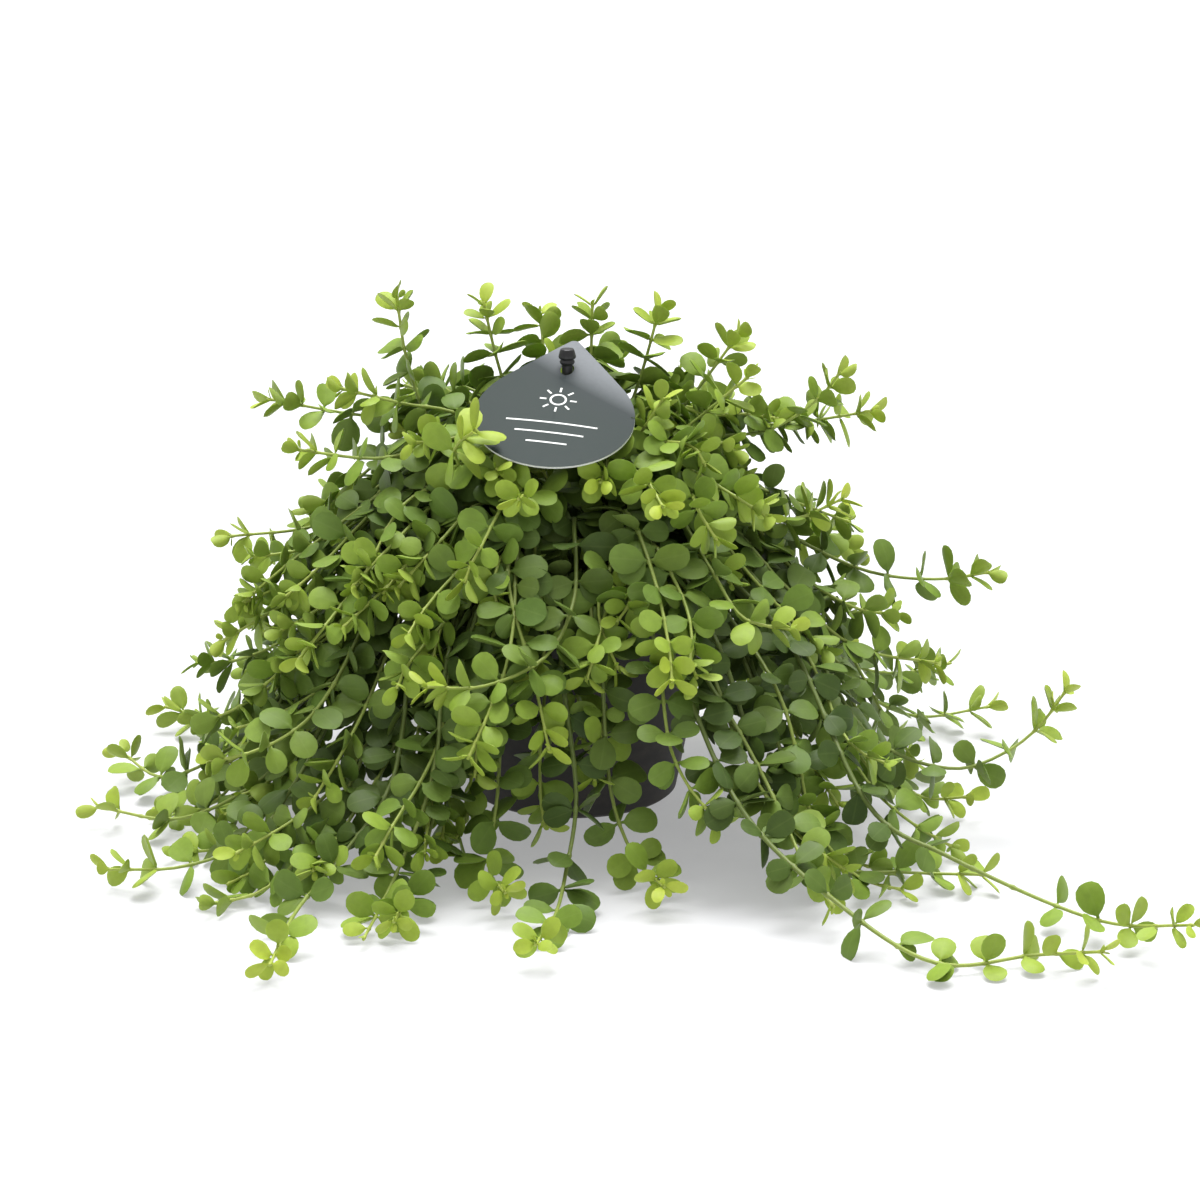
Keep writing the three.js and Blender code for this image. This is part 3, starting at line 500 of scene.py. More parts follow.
def moulded_polypropylene(tree, place):
    """Recycled polypropylene, moulded: charcoal, dull satin, with faint flow marks and dust."""
    # Flow marks, long round the pot and 4 mm apart up it
    stretched = add(tree, "Mapping", {"Vector": place, "Scale": (0.3, 0.3, 1)})
    flow = add(tree, "TexNoise", {"Vector": stretched, "Scale": 1 / (4 * MM), "Detail": 4})
    tint = add(tree, "ValToRGB", {0: flow}, stops=((0.3, "#242120"), (0.72, "#312D2B")))
    # Dust in spots 12 mm wide
    spots = add(tree, "TexNoise", {"Vector": place, "Scale": 1 / (12 * MM), "Detail": 6, "Roughness": 0.7})
    dust = add(tree, "MapRange", {0: spots, 1: 0.5, 2: 0.75, 3: 0, 4: 0.18})
    dusty = add(tree, "Mix", {0: dust, 6: tint, 7: colour("#6A625A")}, data_type="RGBA")
    gloss = add(tree, "MapRange", {0: spots, 3: 0.45, 4: 0.7})
    # A spark-eroded mould leaves a grain; 0.4 mm here so that it shows
    grain = add(tree, "TexNoise", {"Vector": place, "Scale": 1 / (0.4 * MM), "Detail": 2})
    bump = add(tree, "Bump", {"Strength": 0.3, "Distance": 0.06 * MM, "Height": grain})
    return add(tree, "BsdfPrincipled", {
        "Base Color": dusty.outputs[2],
        "Roughness": gloss,
        "IOR": 1.49,
        "Normal": bump,
    })


def peat(tree, place):
    """Peat mix, loose: dark brown, rough, with paler fibres and damp spots."""
    # Clods 5 mm wide over fibres of 1 mm
    clods = add(tree, "TexNoise", {"Vector": place, "Scale": 1 / (5 * MM), "Detail": 6, "Roughness": 0.65})
    fibres = add(tree, "TexNoise", {"Vector": place, "Scale": 1 / (1 * MM), "Detail": 3, "Distortion": 1.5})
    tint = add(tree, "ValToRGB", {0: clods}, stops=((0.3, "#1E1510"), (0.75, "#4A382B")))
    straw = add(tree, "MapRange", {0: fibres, 1: 0.66, 2: 0.76, 3: 0, 4: 0.6})
    mixed = add(tree, "Mix", {0: straw, 6: tint, 7: colour("#7C654C")}, data_type="RGBA")
    bump = add(tree, "Bump", {"Strength": 0.8, "Distance": 0.5 * MM, "Height": fibres})
    damp = add(tree, "MapRange", {0: clods, 3: 0.75, 4: 1})
    return add(tree, "BsdfPrincipled", {
        "Base Color": mixed.outputs[2],
        "Roughness": damp,
        "Normal": bump,
    })


def printed_polystyrene(tree, place):
    """Polystyrene sheet printed slate grey and die-cut, satin, with a painted sheen that pales its top and
    right shoulder.
    """
    # Painted sheen: the grey pales towards the top and the right shoulder, where the lamp's reflection would
    # fall
    parts = add(tree, "SeparateXYZ", {0: place}).outputs
    foot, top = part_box("label")
    rise = add(tree, "MapRange", {0: parts["Z"], 1: foot.z, 2: top.z})
    right = add(tree, "MapRange", {0: parts["X"], 1: foot.x, 2: top.x, 4: 0.7})
    shoulder = add(tree, "Math", {0: rise, 1: right})
    painted_sheen = add(tree, "MapRange", {0: shoulder, 1: 0.86, 2: 1.36}, interpolation_type="SMOOTHSTEP")
    tint = add(tree, "ValToRGB", {0: painted_sheen}, stops=((0, "#2B3634"), (1, "#7C8084"), (0.4, "#2D3637")))
    # Faint unevenness of the ink, 2 mm wide
    ink = add(tree, "TexNoise", {"Vector": place, "Scale": 1 / (2 * MM), "Detail": 4})
    shade = add(tree, "MapRange", {0: ink, 1: 0.3, 2: 0.7, 3: 0.95, 4: 1.05})
    varied = add(tree, "HueSaturation", {"Value": shade, "Color": tint})
    gloss = add(tree, "MapRange", {0: ink, 3: 0.5, 4: 0.6})
    bump = add(tree, "Bump", {"Strength": 0.1, "Distance": 0.05 * MM, "Height": ink})
    return add(tree, "BsdfPrincipled", {
        "Base Color": varied,
        "Roughness": gloss,
        "IOR": 1.45,
        "Specular IOR Level": 0.2,
        "Normal": bump,
    })


def white_polystyrene(tree, place):
    """White polystyrene, cut through or inked: the core that shows at the sheet's edge, and the print."""
    # Cutting marks and ink dots, 0.6 mm
    marks = add(tree, "TexNoise", {"Vector": place, "Scale": 1 / (0.6 * MM), "Detail": 2})
    tint = add(tree, "ValToRGB", {0: marks}, stops=((0.3, "#DEE0DE"), (0.7, "#F2F3F1")))
    bump = add(tree, "Bump", {"Strength": 0.15, "Distance": 0.04 * MM, "Height": marks})
    return add(tree, "BsdfPrincipled", {
        "Base Color": tint,
        "Roughness": 0.5,
        "IOR": 1.55,
        "Normal": bump,
    })


def black_polystyrene(tree, place):
    """Black polystyrene, moulded: near black, glossier than the pot, with a soft highlight on its edges."""
    # Sink marks and scuffs, 2 mm wide
    scuffs = add(tree, "TexNoise", {"Vector": place, "Scale": 1 / (2 * MM), "Detail": 5})
    tint = add(tree, "ValToRGB", {0: scuffs}, stops=((0.35, "#141415"), (0.75, "#242426")))
    gloss = add(tree, "MapRange", {0: scuffs, 3: 0.26, 4: 0.46})
    bump = add(tree, "Bump", {"Strength": 0.15, "Distance": 0.08 * MM, "Height": scuffs})
    return add(tree, "BsdfPrincipled", {
        "Base Color": tint,
        "Roughness": gloss,
        "IOR": 1.55,
        "Normal": bump,
    })


def floor_with_painted_glow(tree, place):
    """Pale matt floor whose painted glow stands in for fill light and keeps the shadows on it pale."""
    # Clouds 30 mm wide in the sheet, hardly seen
    clouds = add(tree, "TexNoise", {"Vector": place, "Scale": 1 / (30 * MM), "Detail": 2})
    tint = add(tree, "ValToRGB", {0: clouds}, stops=((0.2, "#B6B6B8"), (0.8, "#BABABC")))
    return add(tree, "BsdfPrincipled", {
        "Base Color": tint,
        "Roughness": 0.85,
        # Painted glow: the floor gives off light of its own, which keeps the shadows on it pale
        "Emission Color": tint,
        "Emission Strength": PAINTED_FLOOR_GLOW,
    })


LEAF = made_of(fleshy_leaf)
STEM = made_of(stem_skin)
POT = made_of(moulded_polypropylene)
SOIL = made_of(peat)
SHEET = made_of(printed_polystyrene)
CORE = made_of(white_polystyrene)
BLACK = made_of(black_polystyrene)
TABLE = made_of(floor_with_painted_glow)


# Helpers for shapes

def show(name, data):
    """A new object in the scene."""
    shown = bpy.data.objects.new(name, data)
    bpy.context.scene.collection.objects.link(shown)
    return shown


def mesh_of(bm, name):
    """A finished shape as a mesh."""
    mesh = bpy.data.meshes.new(name)
    bm.to_mesh(mesh)
    bm.free()
    return mesh


def put_in(bm, mesh):
    """Puts a mesh into a shape, for good."""
    bm.from_mesh(mesh)
    bpy.data.meshes.remove(mesh)


def object_of(bm, name, looks):
    """A shape in millimetres as an object in metres, smooth but for its hard edges."""
    bmesh.ops.scale(bm, vec=(MM, MM, MM), verts=bm.verts)
    for face in bm.faces:
        face.smooth = True
    mesh = mesh_of(bm, name)
    mesh.set_sharp_from_angle(angle=SHARP_ANGLE)
    for look in looks:
        mesh.materials.append(look)
    return show(name, mesh)


def piece(shown, slot, *nodes):
    """Makes an object a piece of the plant on the root body, and hides the nodes that it stands for; the slot
    is not used.
    """
    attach(shown, "root")
    if nodes:
        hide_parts(*nodes)


def turned(bm, profile, steps):
    """Turns a profile of radius and height about the upright axis into a closed skin."""
    verts = [bm.verts.new((radius, 0, height)) for radius, height in profile]
    edges = [bm.edges.new(pair) for pair in zip(verts, verts[1:])]
    bmesh.ops.spin(
        bm, geom=verts + edges, cent=(0, 0, 0), axis=UP, angle=2 * math.pi, steps=steps, use_merge=True,
    )
    bmesh.ops.remove_doubles(bm, verts=bm.verts, dist=SAME_PLACE)
    bmesh.ops.recalc_face_normals(bm, faces=bm.faces)


def soften(bm, edges, width):
    """Rounds edges."""
    bmesh.ops.bevel(
        bm, geom=edges, offset=width, offset_type="OFFSET", segments=2, profile=0.5,
        affect="EDGES", material=-1, clamp_overlap=True,
    )


def sharp_edges(bm, angle):
    """The edges at which the surface turns by more than an angle."""
    return [e for e in bm.edges if len(e.link_faces) == 2 and e.calc_face_angle() > angle]


def verts_in(made):
    """The vertices in what an operator gives back."""
    return [item for item in made["geom"] if isinstance(item, bmesh.types.BMVert)]


def edges_round(circle):
    """The edges of a circle that an operator gives back, each once and in the order of its corners."""
    return list(dict.fromkeys(edge for vert in circle["verts"] for edge in vert.link_edges))


def upright(along, across):
    """A turn that takes Z to a direction and X to the one across it."""
    turn = Matrix((across, along.cross(across), along)).transposed()
    return turn.to_4x4()


# The pot, the soil and what stands in it

def wall_radius(height):
    """The pot wall's outer radius below the collar."""
    slope = (POT_RIM_RADIUS - POT_COLLAR_STEP - POT_BASE_RADIUS) / (POT_HEIGHT - POT_COLLAR_HEIGHT)
    return POT_BASE_RADIUS + slope * height


def make_pot():
    """The pot: a thin tapered wall, a stepped collar with a rounded lip, and drain holes in its floor."""
    collar = POT_HEIGHT - POT_COLLAR_HEIGHT
    inner_rim = POT_RIM_RADIUS - POT_WALL - POT_EDGE
    bm = bmesh.new()
    turned(bm, (
        (0, 0),
        (POT_BASE_RADIUS - POT_FOOT_CHAMFER, 0),
        (wall_radius(POT_FOOT_CHAMFER), POT_FOOT_CHAMFER),
        (wall_radius(collar), collar),
        (POT_RIM_RADIUS - POT_EDGE, collar + POT_EDGE),
        (POT_RIM_RADIUS, POT_HEIGHT - POT_EDGE),
        (POT_RIM_RADIUS - POT_EDGE, POT_HEIGHT),
        (inner_rim, POT_HEIGHT),
        (inner_rim - POT_EDGE, collar + POT_WALL),
        (wall_radius(collar) - POT_WALL, collar - POT_WALL),
        (wall_radius(POT_FLOOR) - POT_WALL, POT_FLOOR),
        (0, POT_FLOOR),
    ), POT_STEPS)
    soften(bm, sharp_edges(bm, POT_CREASE), POT_SOFTENING)
    pot = object_of(bm, "pot_shell", [POT])
    drill = bmesh.new()
    for hole in range(DRAIN_HOLES):
        heading = hole / DRAIN_HOLES * 2 * math.pi
        x, y = DRAIN_RING_RADIUS * math.cos(heading), DRAIN_RING_RADIUS * math.sin(heading)
        bmesh.ops.create_cone(
            drill, cap_ends=True, segments=DRAIN_STEPS, radius1=DRAIN_RADIUS, radius2=DRAIN_RADIUS,
            depth=3 * POT_FLOOR, matrix=Matrix.Translation((x, y, POT_FLOOR / 2)),
        )
    cutter = object_of(drill, "drain_drill", [POT])
    cut = pot.modifiers.new("drain_holes", "BOOLEAN")
    cut.object = cutter
    cut.operation = "DIFFERENCE"
    cut.solver = "EXACT"
    drilled = bpy.data.meshes.new_from_object(pot.evaluated_get(bpy.context.evaluated_depsgraph_get()))
    pot.modifiers.clear()
    pot.data = drilled
    bpy.data.objects.remove(cutter)
    piece(pot, "pot", "pot")


def soil_height(x, y):
    """The lumpy top of the soil."""
    height = SOIL_TOP
    for width, swing in SOIL_LUMPS:
        height += swing * noise.noise(Vector((x / width, y / width, width)))
    return height


def make_soil():
    """The plug of soil, with a lumpy top and loose crumbs on it."""
    bm = bmesh.new()
    top = [(SOIL_RADIUS * i / SOIL_RINGS, SOIL_TOP) for i in range(SOIL_RINGS, -1, -1)]
    turned(bm, ((0, SOIL_FOOT), (SOIL_FOOT_RADIUS, SOIL_FOOT), *top), SOIL_STEPS)
    for vert in bm.verts:
        if vert.co.z > SOIL_TOP - SOIL_SKIN:
            settle = 1 - (vert.co.xy.length / SOIL_RADIUS) ** SOIL_SETTLING
            lump = soil_height(vert.co.x, vert.co.y) - SOIL_TOP + SOIL_SKIN
            vert.co.z = SOIL_TOP - SOIL_SKIN + lump * settle
    draw = seeded(CRUMB_SEED)
    for _ in range(SOIL_CRUMBS):
        radius = (SOIL_RADIUS - CRUMB_INSET) * math.sqrt(next(draw))
        heading = 2 * math.pi * next(draw)
        size = CRUMB_LEAST + CRUMB_SPREAD * next(draw) ** 2
        x, y = radius * math.cos(heading), radius * math.sin(heading)
        turn = Matrix.Rotation(CRUMB_TURN * next(draw), 4, (next(draw), next(draw), CRUMB_AXIS_RISE))
        shape = Matrix.Diagonal((*(size * share for share in CRUMB_SHAPE), 1))
        place = Matrix.Translation((x, y, soil_height(x, y) + CRUMB_RISE * size))
        bmesh.ops.create_icosphere(bm, subdivisions=1, radius=1, matrix=place @ turn @ shape)
    piece(object_of(bm, "soil_plug", [SOIL]), "soil", "soil")


def make_stake():
    """The stake: a flat pointed stick, and a round peg with a waisted head that holds the label."""
    top = STAKE_PLACE.z - STAKE_SHOULDER
    half = STAKE_WIDTH / 2
    bm = bmesh.new()
    point = STAKE_TIP_WIDTH / 2
    outline = (
        (-point, STAKE_FOOT), (point, STAKE_FOOT), (half, STAKE_FOOT + STAKE_TIP),
        (half, top), (-half, top), (-half, STAKE_FOOT + STAKE_TIP),
    )
    blade = bm.faces.new([bm.verts.new((x, STAKE_THICKNESS / 2, z)) for x, z in outline])
    grown = bmesh.ops.extrude_face_region(bm, geom=[blade])
    bmesh.ops.translate(bm, vec=(0, -STAKE_THICKNESS, 0), verts=verts_in(grown))
    bmesh.ops.recalc_face_normals(bm, faces=bm.faces)
    soften(bm, bm.edges[:], STAKE_EDGE)
    peg = bmesh.new()
    turned(peg, (
        (0, top - PEG_ROOT), (PEG_NECK, top - PEG_ROOT), (PEG_NECK, STAKE_TOP - PEG_HEAD_HEIGHT),
        *((radius, STAKE_TOP - drop) for radius, drop in PEG_HEAD), (0, STAKE_TOP),
    ), PEG_STEPS)
    soften(peg, sharp_edges(peg, PEG_CREASE), PEG_EDGE)
    put_in(bm, mesh_of(peg, "peg"))
    bmesh.ops.translate(bm, vec=(STAKE_PLACE.x, STAKE_PLACE.y, 0), verts=bm.verts)
    piece(object_of(bm, "label_stake", [BLACK]), "stake", "stake")


def label_place():
    """Takes the label's own plane, with its slot at the origin, to where it leans on the stake."""
    lean = Matrix.Rotation(LABEL_LEAN, 4, "X") @ Matrix.Rotation(LABEL_TURN, 4, "Z")
    return Matrix.Translation(STAKE_PLACE) @ lean @ Matrix.Translation((0, LABEL_SLOT_DROP - LABEL_APEX, 0))


# From the frame to the label's own plane, and the direction in which the camera looks
FROM_LABEL = label_place().inverted()
TO_BACK = Matrix.Rotation(CAMERA_TILT, 3, "X") @ -UP


def arc(bm, centre, radius, start, stop, steps):
    """A line of edges along an arc."""
    first = bm.verts.new(centre + radius * Vector((math.cos(start), math.sin(start), 0)))
    made = bmesh.ops.spin(bm, geom=[first], cent=centre, axis=UP, angle=stop - start, steps=steps)
    return first, made["geom_last"][0]


def oblong(bm, x, y, length, turn=0):
    """One bar of the print."""
    place = Matrix.Translation((x, y, 0)) @ Matrix.Rotation(turn, 4, "Z")
    size = Matrix.Diagonal((length / 2, PRINT_WIDTH / 2, 1, 1))
    bmesh.ops.create_grid(bm, x_segments=LABEL_CUTS, y_segments=1, size=1, matrix=place @ size)


def print_design(bm):
    """The print, white and plain: a sun with eight rays, and three bars under it."""
    x, y = SUN_PLACE
    centre = Matrix.Translation((x, y, 0))
    circle = bmesh.ops.create_circle(bm, segments=SUN_STEPS, radius=SUN_RADIUS, matrix=centre)
    inner = bmesh.ops.extrude_edge_only(bm, edges=edges_round(circle))
    bmesh.ops.scale(
        bm, vec=Vector((1, 1, 1)) * (1 - PRINT_WIDTH / SUN_RADIUS), space=Matrix.Translation((-x, -y, 0)),
        verts=verts_in(inner),
    )
    away, length = SUN_RAY
    for ray in range(SUN_RAYS):
        turn = ray / SUN_RAYS * 2 * math.pi
        oblong(bm, x + away * math.cos(turn), y + away * math.sin(turn), length, turn)
    for height, length in BARS:
        oblong(bm, 0, height, length)


def thicken(bm, height, depth):
    """Makes the faces of a flat outline a plate, its lower face at a height."""
    grown = bmesh.ops.extrude_face_region(bm, geom=bm.faces[:])
    bmesh.ops.translate(bm, vec=(0, 0, depth), verts=verts_in(grown))
    bmesh.ops.translate(bm, vec=(0, 0, height), verts=bm.verts)
    bmesh.ops.recalc_face_normals(bm, faces=bm.faces)


def make_label():
    """The label: a thin drop-shaped sheet, slate grey on both faces, white at its cut edge and in print."""
    tangent = math.acos(LABEL_RADIUS / LABEL_APEX)
    peak = Vector((0, LABEL_APEX - LABEL_APEX_ROUND / math.cos(tangent), 0))
    start, stop = 90 * DEG + tangent, 450 * DEG - tangent
    bm = bmesh.new()
    low, right = arc(bm, Vector((0, 0, 0)), LABEL_RADIUS, start, stop, LABEL_STEPS)
    tip, left = arc(bm, peak, LABEL_APEX_ROUND, stop - 360 * DEG, start, APEX_STEPS)
    bm.edges.new((right, tip))
    bm.edges.new((left, low))
    rim = bm.edges[:]
    slot = Matrix.Translation((0, LABEL_APEX - LABEL_SLOT_DROP, 0)) @ Matrix.Diagonal((*LABEL_SLOT, 1, 1))
    hole = bmesh.ops.create_circle(bm, segments=SLOT_STEPS, radius=1, matrix=slot)
    bmesh.ops.triangle_fill(bm, edges=rim + edges_round(hole), use_beauty=True, normal=UP)
    for cut in range(1, LABEL_CUTS):
        across = LABEL_RADIUS * (2 * cut / LABEL_CUTS - 1)
        for place, facing in (((across, 0, 0), (1, 0, 0)), ((0, across, 0), (0, 1, 0))):
            bmesh.ops.bisect_plane(
                bm, geom=bm.verts[:] + bm.edges[:] + bm.faces[:], plane_co=place, plane_no=facing,
            )
    thicken(bm, -LABEL_THICKNESS / 2, LABEL_THICKNESS)
    # The two faces are slate grey, the cut edge shows the core
    for face in bm.faces:
        face.material_index = 0 if abs(face.normal.z) > 0.5 else 1
    ink = bmesh.new()
    print_design(ink)
    thicken(ink, LABEL_THICKNESS / 2, PRINT_HEIGHT)
    for face in ink.faces:
        face.material_index = 1
    put_in(bm, mesh_of(ink, "print"))
    # The sheet's sides sag a little
    for vert in bm.verts:
        vert.co.z -= LABEL_BOW * (vert.co.x / LABEL_RADIUS) ** 2
    bmesh.ops.transform(bm, matrix=label_place(), verts=bm.verts)
    piece(object_of(bm, "label_sheet", [SHEET, CORE]), "label", "label")


# How the stems and leaves grow

def smooth_line(points):
    """A centripetal curve through points, as short straight steps."""
    ends = [2 * points[0] - points[1], *points, 2 * points[-1] - points[-2]]
    line = []
    for sample in range(PATH_SAMPLES + 1):
        place = (len(points) - 1) * sample / PATH_SAMPLES
        i = min(int(place), len(points) - 2)
        share = place - i
        before, start, stop, after = ends[i:i + 4]
        gaps = [math.sqrt((b - a).length) for a, b in ((before, start), (start, stop), (stop, after))]
        leave = (start - before) / gaps[0] - (stop - before) / (gaps[0] + gaps[1]) + (stop - start) / gaps[1]
        reach = (stop - start) / gaps[1] - (after - start) / (gaps[1] + gaps[2]) + (after - stop) / gaps[2]
        leave, reach = leave * gaps[1], reach * gaps[1]
        square = -3 * start + 3 * stop - 2 * leave - reach
        cube = 2 * start - 2 * stop + leave + reach
        line.append(start + leave * share + square * share ** 2 + cube * share ** 3)
    return line


def way(layer, heading, through):
    """The points that a stem passes, from the soil to its tip."""
    root, rise, _ = LAYERS[layer]
    away = Vector((math.cos(heading * DEG), math.sin(heading * DEG), 0))
    points = [away * root + UP * (SOIL_TOP + ROOT_RISE)]
    points += [away * radius + UP * height for radius, height in rise]
    return points + [Vector(point) for point in through]


class Route:
    """A stem's way from the soil to its tip, walked by length."""

    def __init__(self, points):
        self.ground = points[0]
        self.samples = smooth_line(points)
        self.lengths = [0]
        for one, other in zip(self.samples, self.samples[1:]):
            self.lengths.append(self.lengths[-1] + (other - one).length)
        self.length = self.lengths[-1]
        self.across = Vector((-self.ground.y, self.ground.x, 0)).normalized()

    def at(self, distance):
        """The point at a length along the route."""
        wanted = min(max(distance, 0), self.length)
        last = len(self.lengths) - 1
        i = next((k for k in range(1, last) if self.lengths[k] >= wanted), last)
        share = (wanted - self.lengths[i - 1]) / (self.lengths[i] - self.lengths[i - 1])
        return self.samples[i - 1].lerp(self.samples[i], share)

    def along(self, distance):
        """The route's direction at a length."""
        return (self.at(distance + PATH_STEP) - self.at(distance - PATH_STEP)).normalized()


def stem_radius(from_tip):
    """The half diagonal of a stem at a distance from its tip."""
    share = min(from_tip / STEM_TAPER_LENGTH, 1)
    return STEM_RADIUS_TIP + (STEM_RADIUS_ROOT - STEM_RADIUS_TIP) * share


class Whorl:
    """A ring of leaf slots on a stem, counted by rank from the tip."""

    def __init__(self, rank, from_tip, distance, slots):
        self.rank = rank
        self.from_tip = from_tip
        self.distance = distance
        self.radius = stem_radius(from_tip)
        self.slots = slots
        self.age = min(rank / MATURE_WHORL, 1)

    def settle(self, route, across, phase):
        """Puts the whorl in its place on the route."""
        self.centre = route.at(self.distance)
        self.along = route.along(self.distance)
        self.across = (across - self.along * across.dot(self.along)).normalized()
        self.turn = phase + WHORL_TWIST * (self.rank % 2)


def make_whorls(route, stretch, index):
    """The whorls of a stem from the root to the tip."""
    draw = seeded(WHORL_SEED + WHORL_SEED_STEP * index)
    phase = 90 * DEG * next(draw)
    whorls = []
    from_tip = APEX_LENGTH
    while route.length - from_tip > BARE_LENGTH:
        rank = len(whorls)
        slots = []
        for side in range(WHORL_SIDES):
            lean = LEAF_LEAN_SPREAD * (next(draw) - 0.5)
            sway = LEAF_SWAY_SPREAD * (next(draw) - 0.5)
            size = 1 + LEAF_SIZE_SPREAD * (next(draw) - 0.5)
            slots.append((side, lean, sway, size))
        whorls.append(Whorl(rank, from_tip, route.length - from_tip, slots))
        space = stretch * WHORL_SPACES[min(rank, len(WHORL_SPACES) - 1)]
        from_tip += space * (1 + SPACE_SPREAD * (next(draw) - 0.5))
    whorls.reverse()
    across = route.across
    for whorl in whorls:
        whorl.settle(route, across, phase)
        across = whorl.across
    return whorls


def around(along, across, angle):
    """The direction at an angle round a stem."""
    return across * math.cos(angle) + along.cross(across) * math.sin(angle)


def light_at(place):
    """Where the light comes from: above, and at the edge of the pot and past it, outside."""
    outward = LIGHT_OUT / max(place.xy.length, POT_RIM_RADIUS)
    return Vector((place.x * outward, place.y * outward, LIGHT_UP)).normalized()


class Leaf:
    """A leaf's place on its stem, its direction, its upper face and its size."""

    def __init__(self, whorl, slot, turn, roll=0):
        side, lean, sway, size = slot
        pitch, yaw, scale = turn
        self.age = whorl.age
        self.from_tip = whorl.from_tip
        self.outward = around(whorl.along, whorl.across, whorl.turn + 90 * DEG * side)
        spread = SPREAD_YOUNG + (SPREAD_MATURE - SPREAD_YOUNG) * self.age
        ahead = self.outward * math.sin(spread) + whorl.along * math.cos(spread)
        light = light_at(whorl.centre)
        ahead = (ahead + light * (lean - TURN_TO_LIGHT * self.age * ahead.dot(light))).normalized()
        upper = light * self.age + whorl.along * FACE_TO_TIP * (1 - self.age)
        upper = (upper - ahead * upper.dot(ahead)).normalized()
        tilt = Matrix.Rotation(-pitch * DEG, 3, ahead.cross(upper))
        self.upper = tilt @ upper
        self.ahead = Matrix.Rotation((yaw + sway) * DEG, 3, self.upper) @ (tilt @ ahead)
        self.upper = Matrix.Rotation(roll * DEG, 3, self.ahead) @ self.upper
        self.sideways = self.ahead.cross(self.upper)
        self.length = LEAF_LENGTHS[min(whorl.rank, len(LEAF_LENGTHS) - 1)] * size * scale
        self.width = self.length * (LEAF_WIDTH_YOUNG + (LEAF_WIDTH_MATURE - LEAF_WIDTH_YOUNG) * self.age)
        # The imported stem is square, and its radius is its half diagonal
        self.origin = whorl.centre + self.outward * whorl.radius * math.sqrt(0.5)

    def fill_out(self, gain):
        """Gives a leaf its full size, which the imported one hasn't, above all when it is young."""
        for name, (young, mature) in (("length", LENGTH_GAINS), ("width", WIDTH_GAINS)):
            setattr(self, name, getattr(self, name) * gain * (young + (mature - young) * self.age))

    def point(self, along, across, height):
        """A point of the leaf from its shares along and across, and its height over the blade."""
        bend = -LEAF_DROOP * self.length * along ** 2 + LEAF_CUP * self.width * across ** 2
        flat = self.ahead * self.length * along - self.sideways * 0.5 * self.width * across
        return self.origin + flat + self.upper * (bend + height)

    def crown(self):
        """The highest point of the leaf's upper face."""
        return self.point(LEAF_CROWN, 0, LEAF_THICKNESS / 2)

    def shell(self):
        """The leaf's outline, and the leaf as a few triangles, to find what it would cross."""
        shares = [*LEAF_OUTLINE, *((along, -across) for along, across in reversed(LEAF_OUTLINE))]
        outline = [self.point(along, across, 0) for along, across in shares]
        bulges = [self.point(LEAF_CROWN, 0, height) for height in SHELL_BULGES]
        ring = len(outline) + 1
        faces = [(top, i, (i + 1) % ring) for top in (ring, ring + 1) for i in range(ring)]
        return outline, BVHTree.FromPolygons([*outline, self.origin, *bulges], faces, all_triangles=True)

    def matrix(self):
        """Takes a leaf of length and width 1 to this leaf's place."""
        columns = Matrix((self.sideways * self.width, self.ahead * self.length, self.upper * self.length))
        return Matrix.Translation(self.origin) @ columns.transposed().to_4x4()


class Thicket:
    """What has grown so far, in a grid of cells about a leaf long, to find what a new leaf would cross."""

    CELL = 14

    def __init__(self, fixed):
        self.fixed = fixed
        self.cells = {}

    def key(self, point):
        """The cell that a point lies in."""
        return tuple(int(value // self.CELL) for value in point)

    def put(self, place, tree, owner=None):
        """Adds what has grown at a place; only what is part of a stem has an owner."""
        self.cells.setdefault(self.key(place), []).append((owner, tree))

    def is_clear(self, leaf, tree, owner):
        """Whether a leaf crosses nothing but the stem that it grows from."""
        x, y, z = self.key(leaf.crown())
        for step in ((i, j, k) for i in (-1, 0, 1) for j in (-1, 0, 1) for k in (-1, 0, 1)):
            for other_owner, other in self.cells.get((x + step[0], y + step[1], z + step[2]), ()):
                if other_owner != owner and tree.overlap(other):
                    return False
        return not any(tree.overlap(other) for other in self.fixed)


def is_open(point):
    """Whether a point is clear of the pot and above the surface that the pot stands on."""
    under_collar = point.z < POT_HEIGHT - POT_COLLAR_HEIGHT - POT_CLEARANCE
    wall = wall_radius(point.z) if under_collar else POT_RIM_RADIUS
    over_rim = point.z > POT_HEIGHT + POT_CLEARANCE
    return point.z > FLOOR_CLEARANCE and (over_rim or point.xy.length > wall + POT_CLEARANCE)


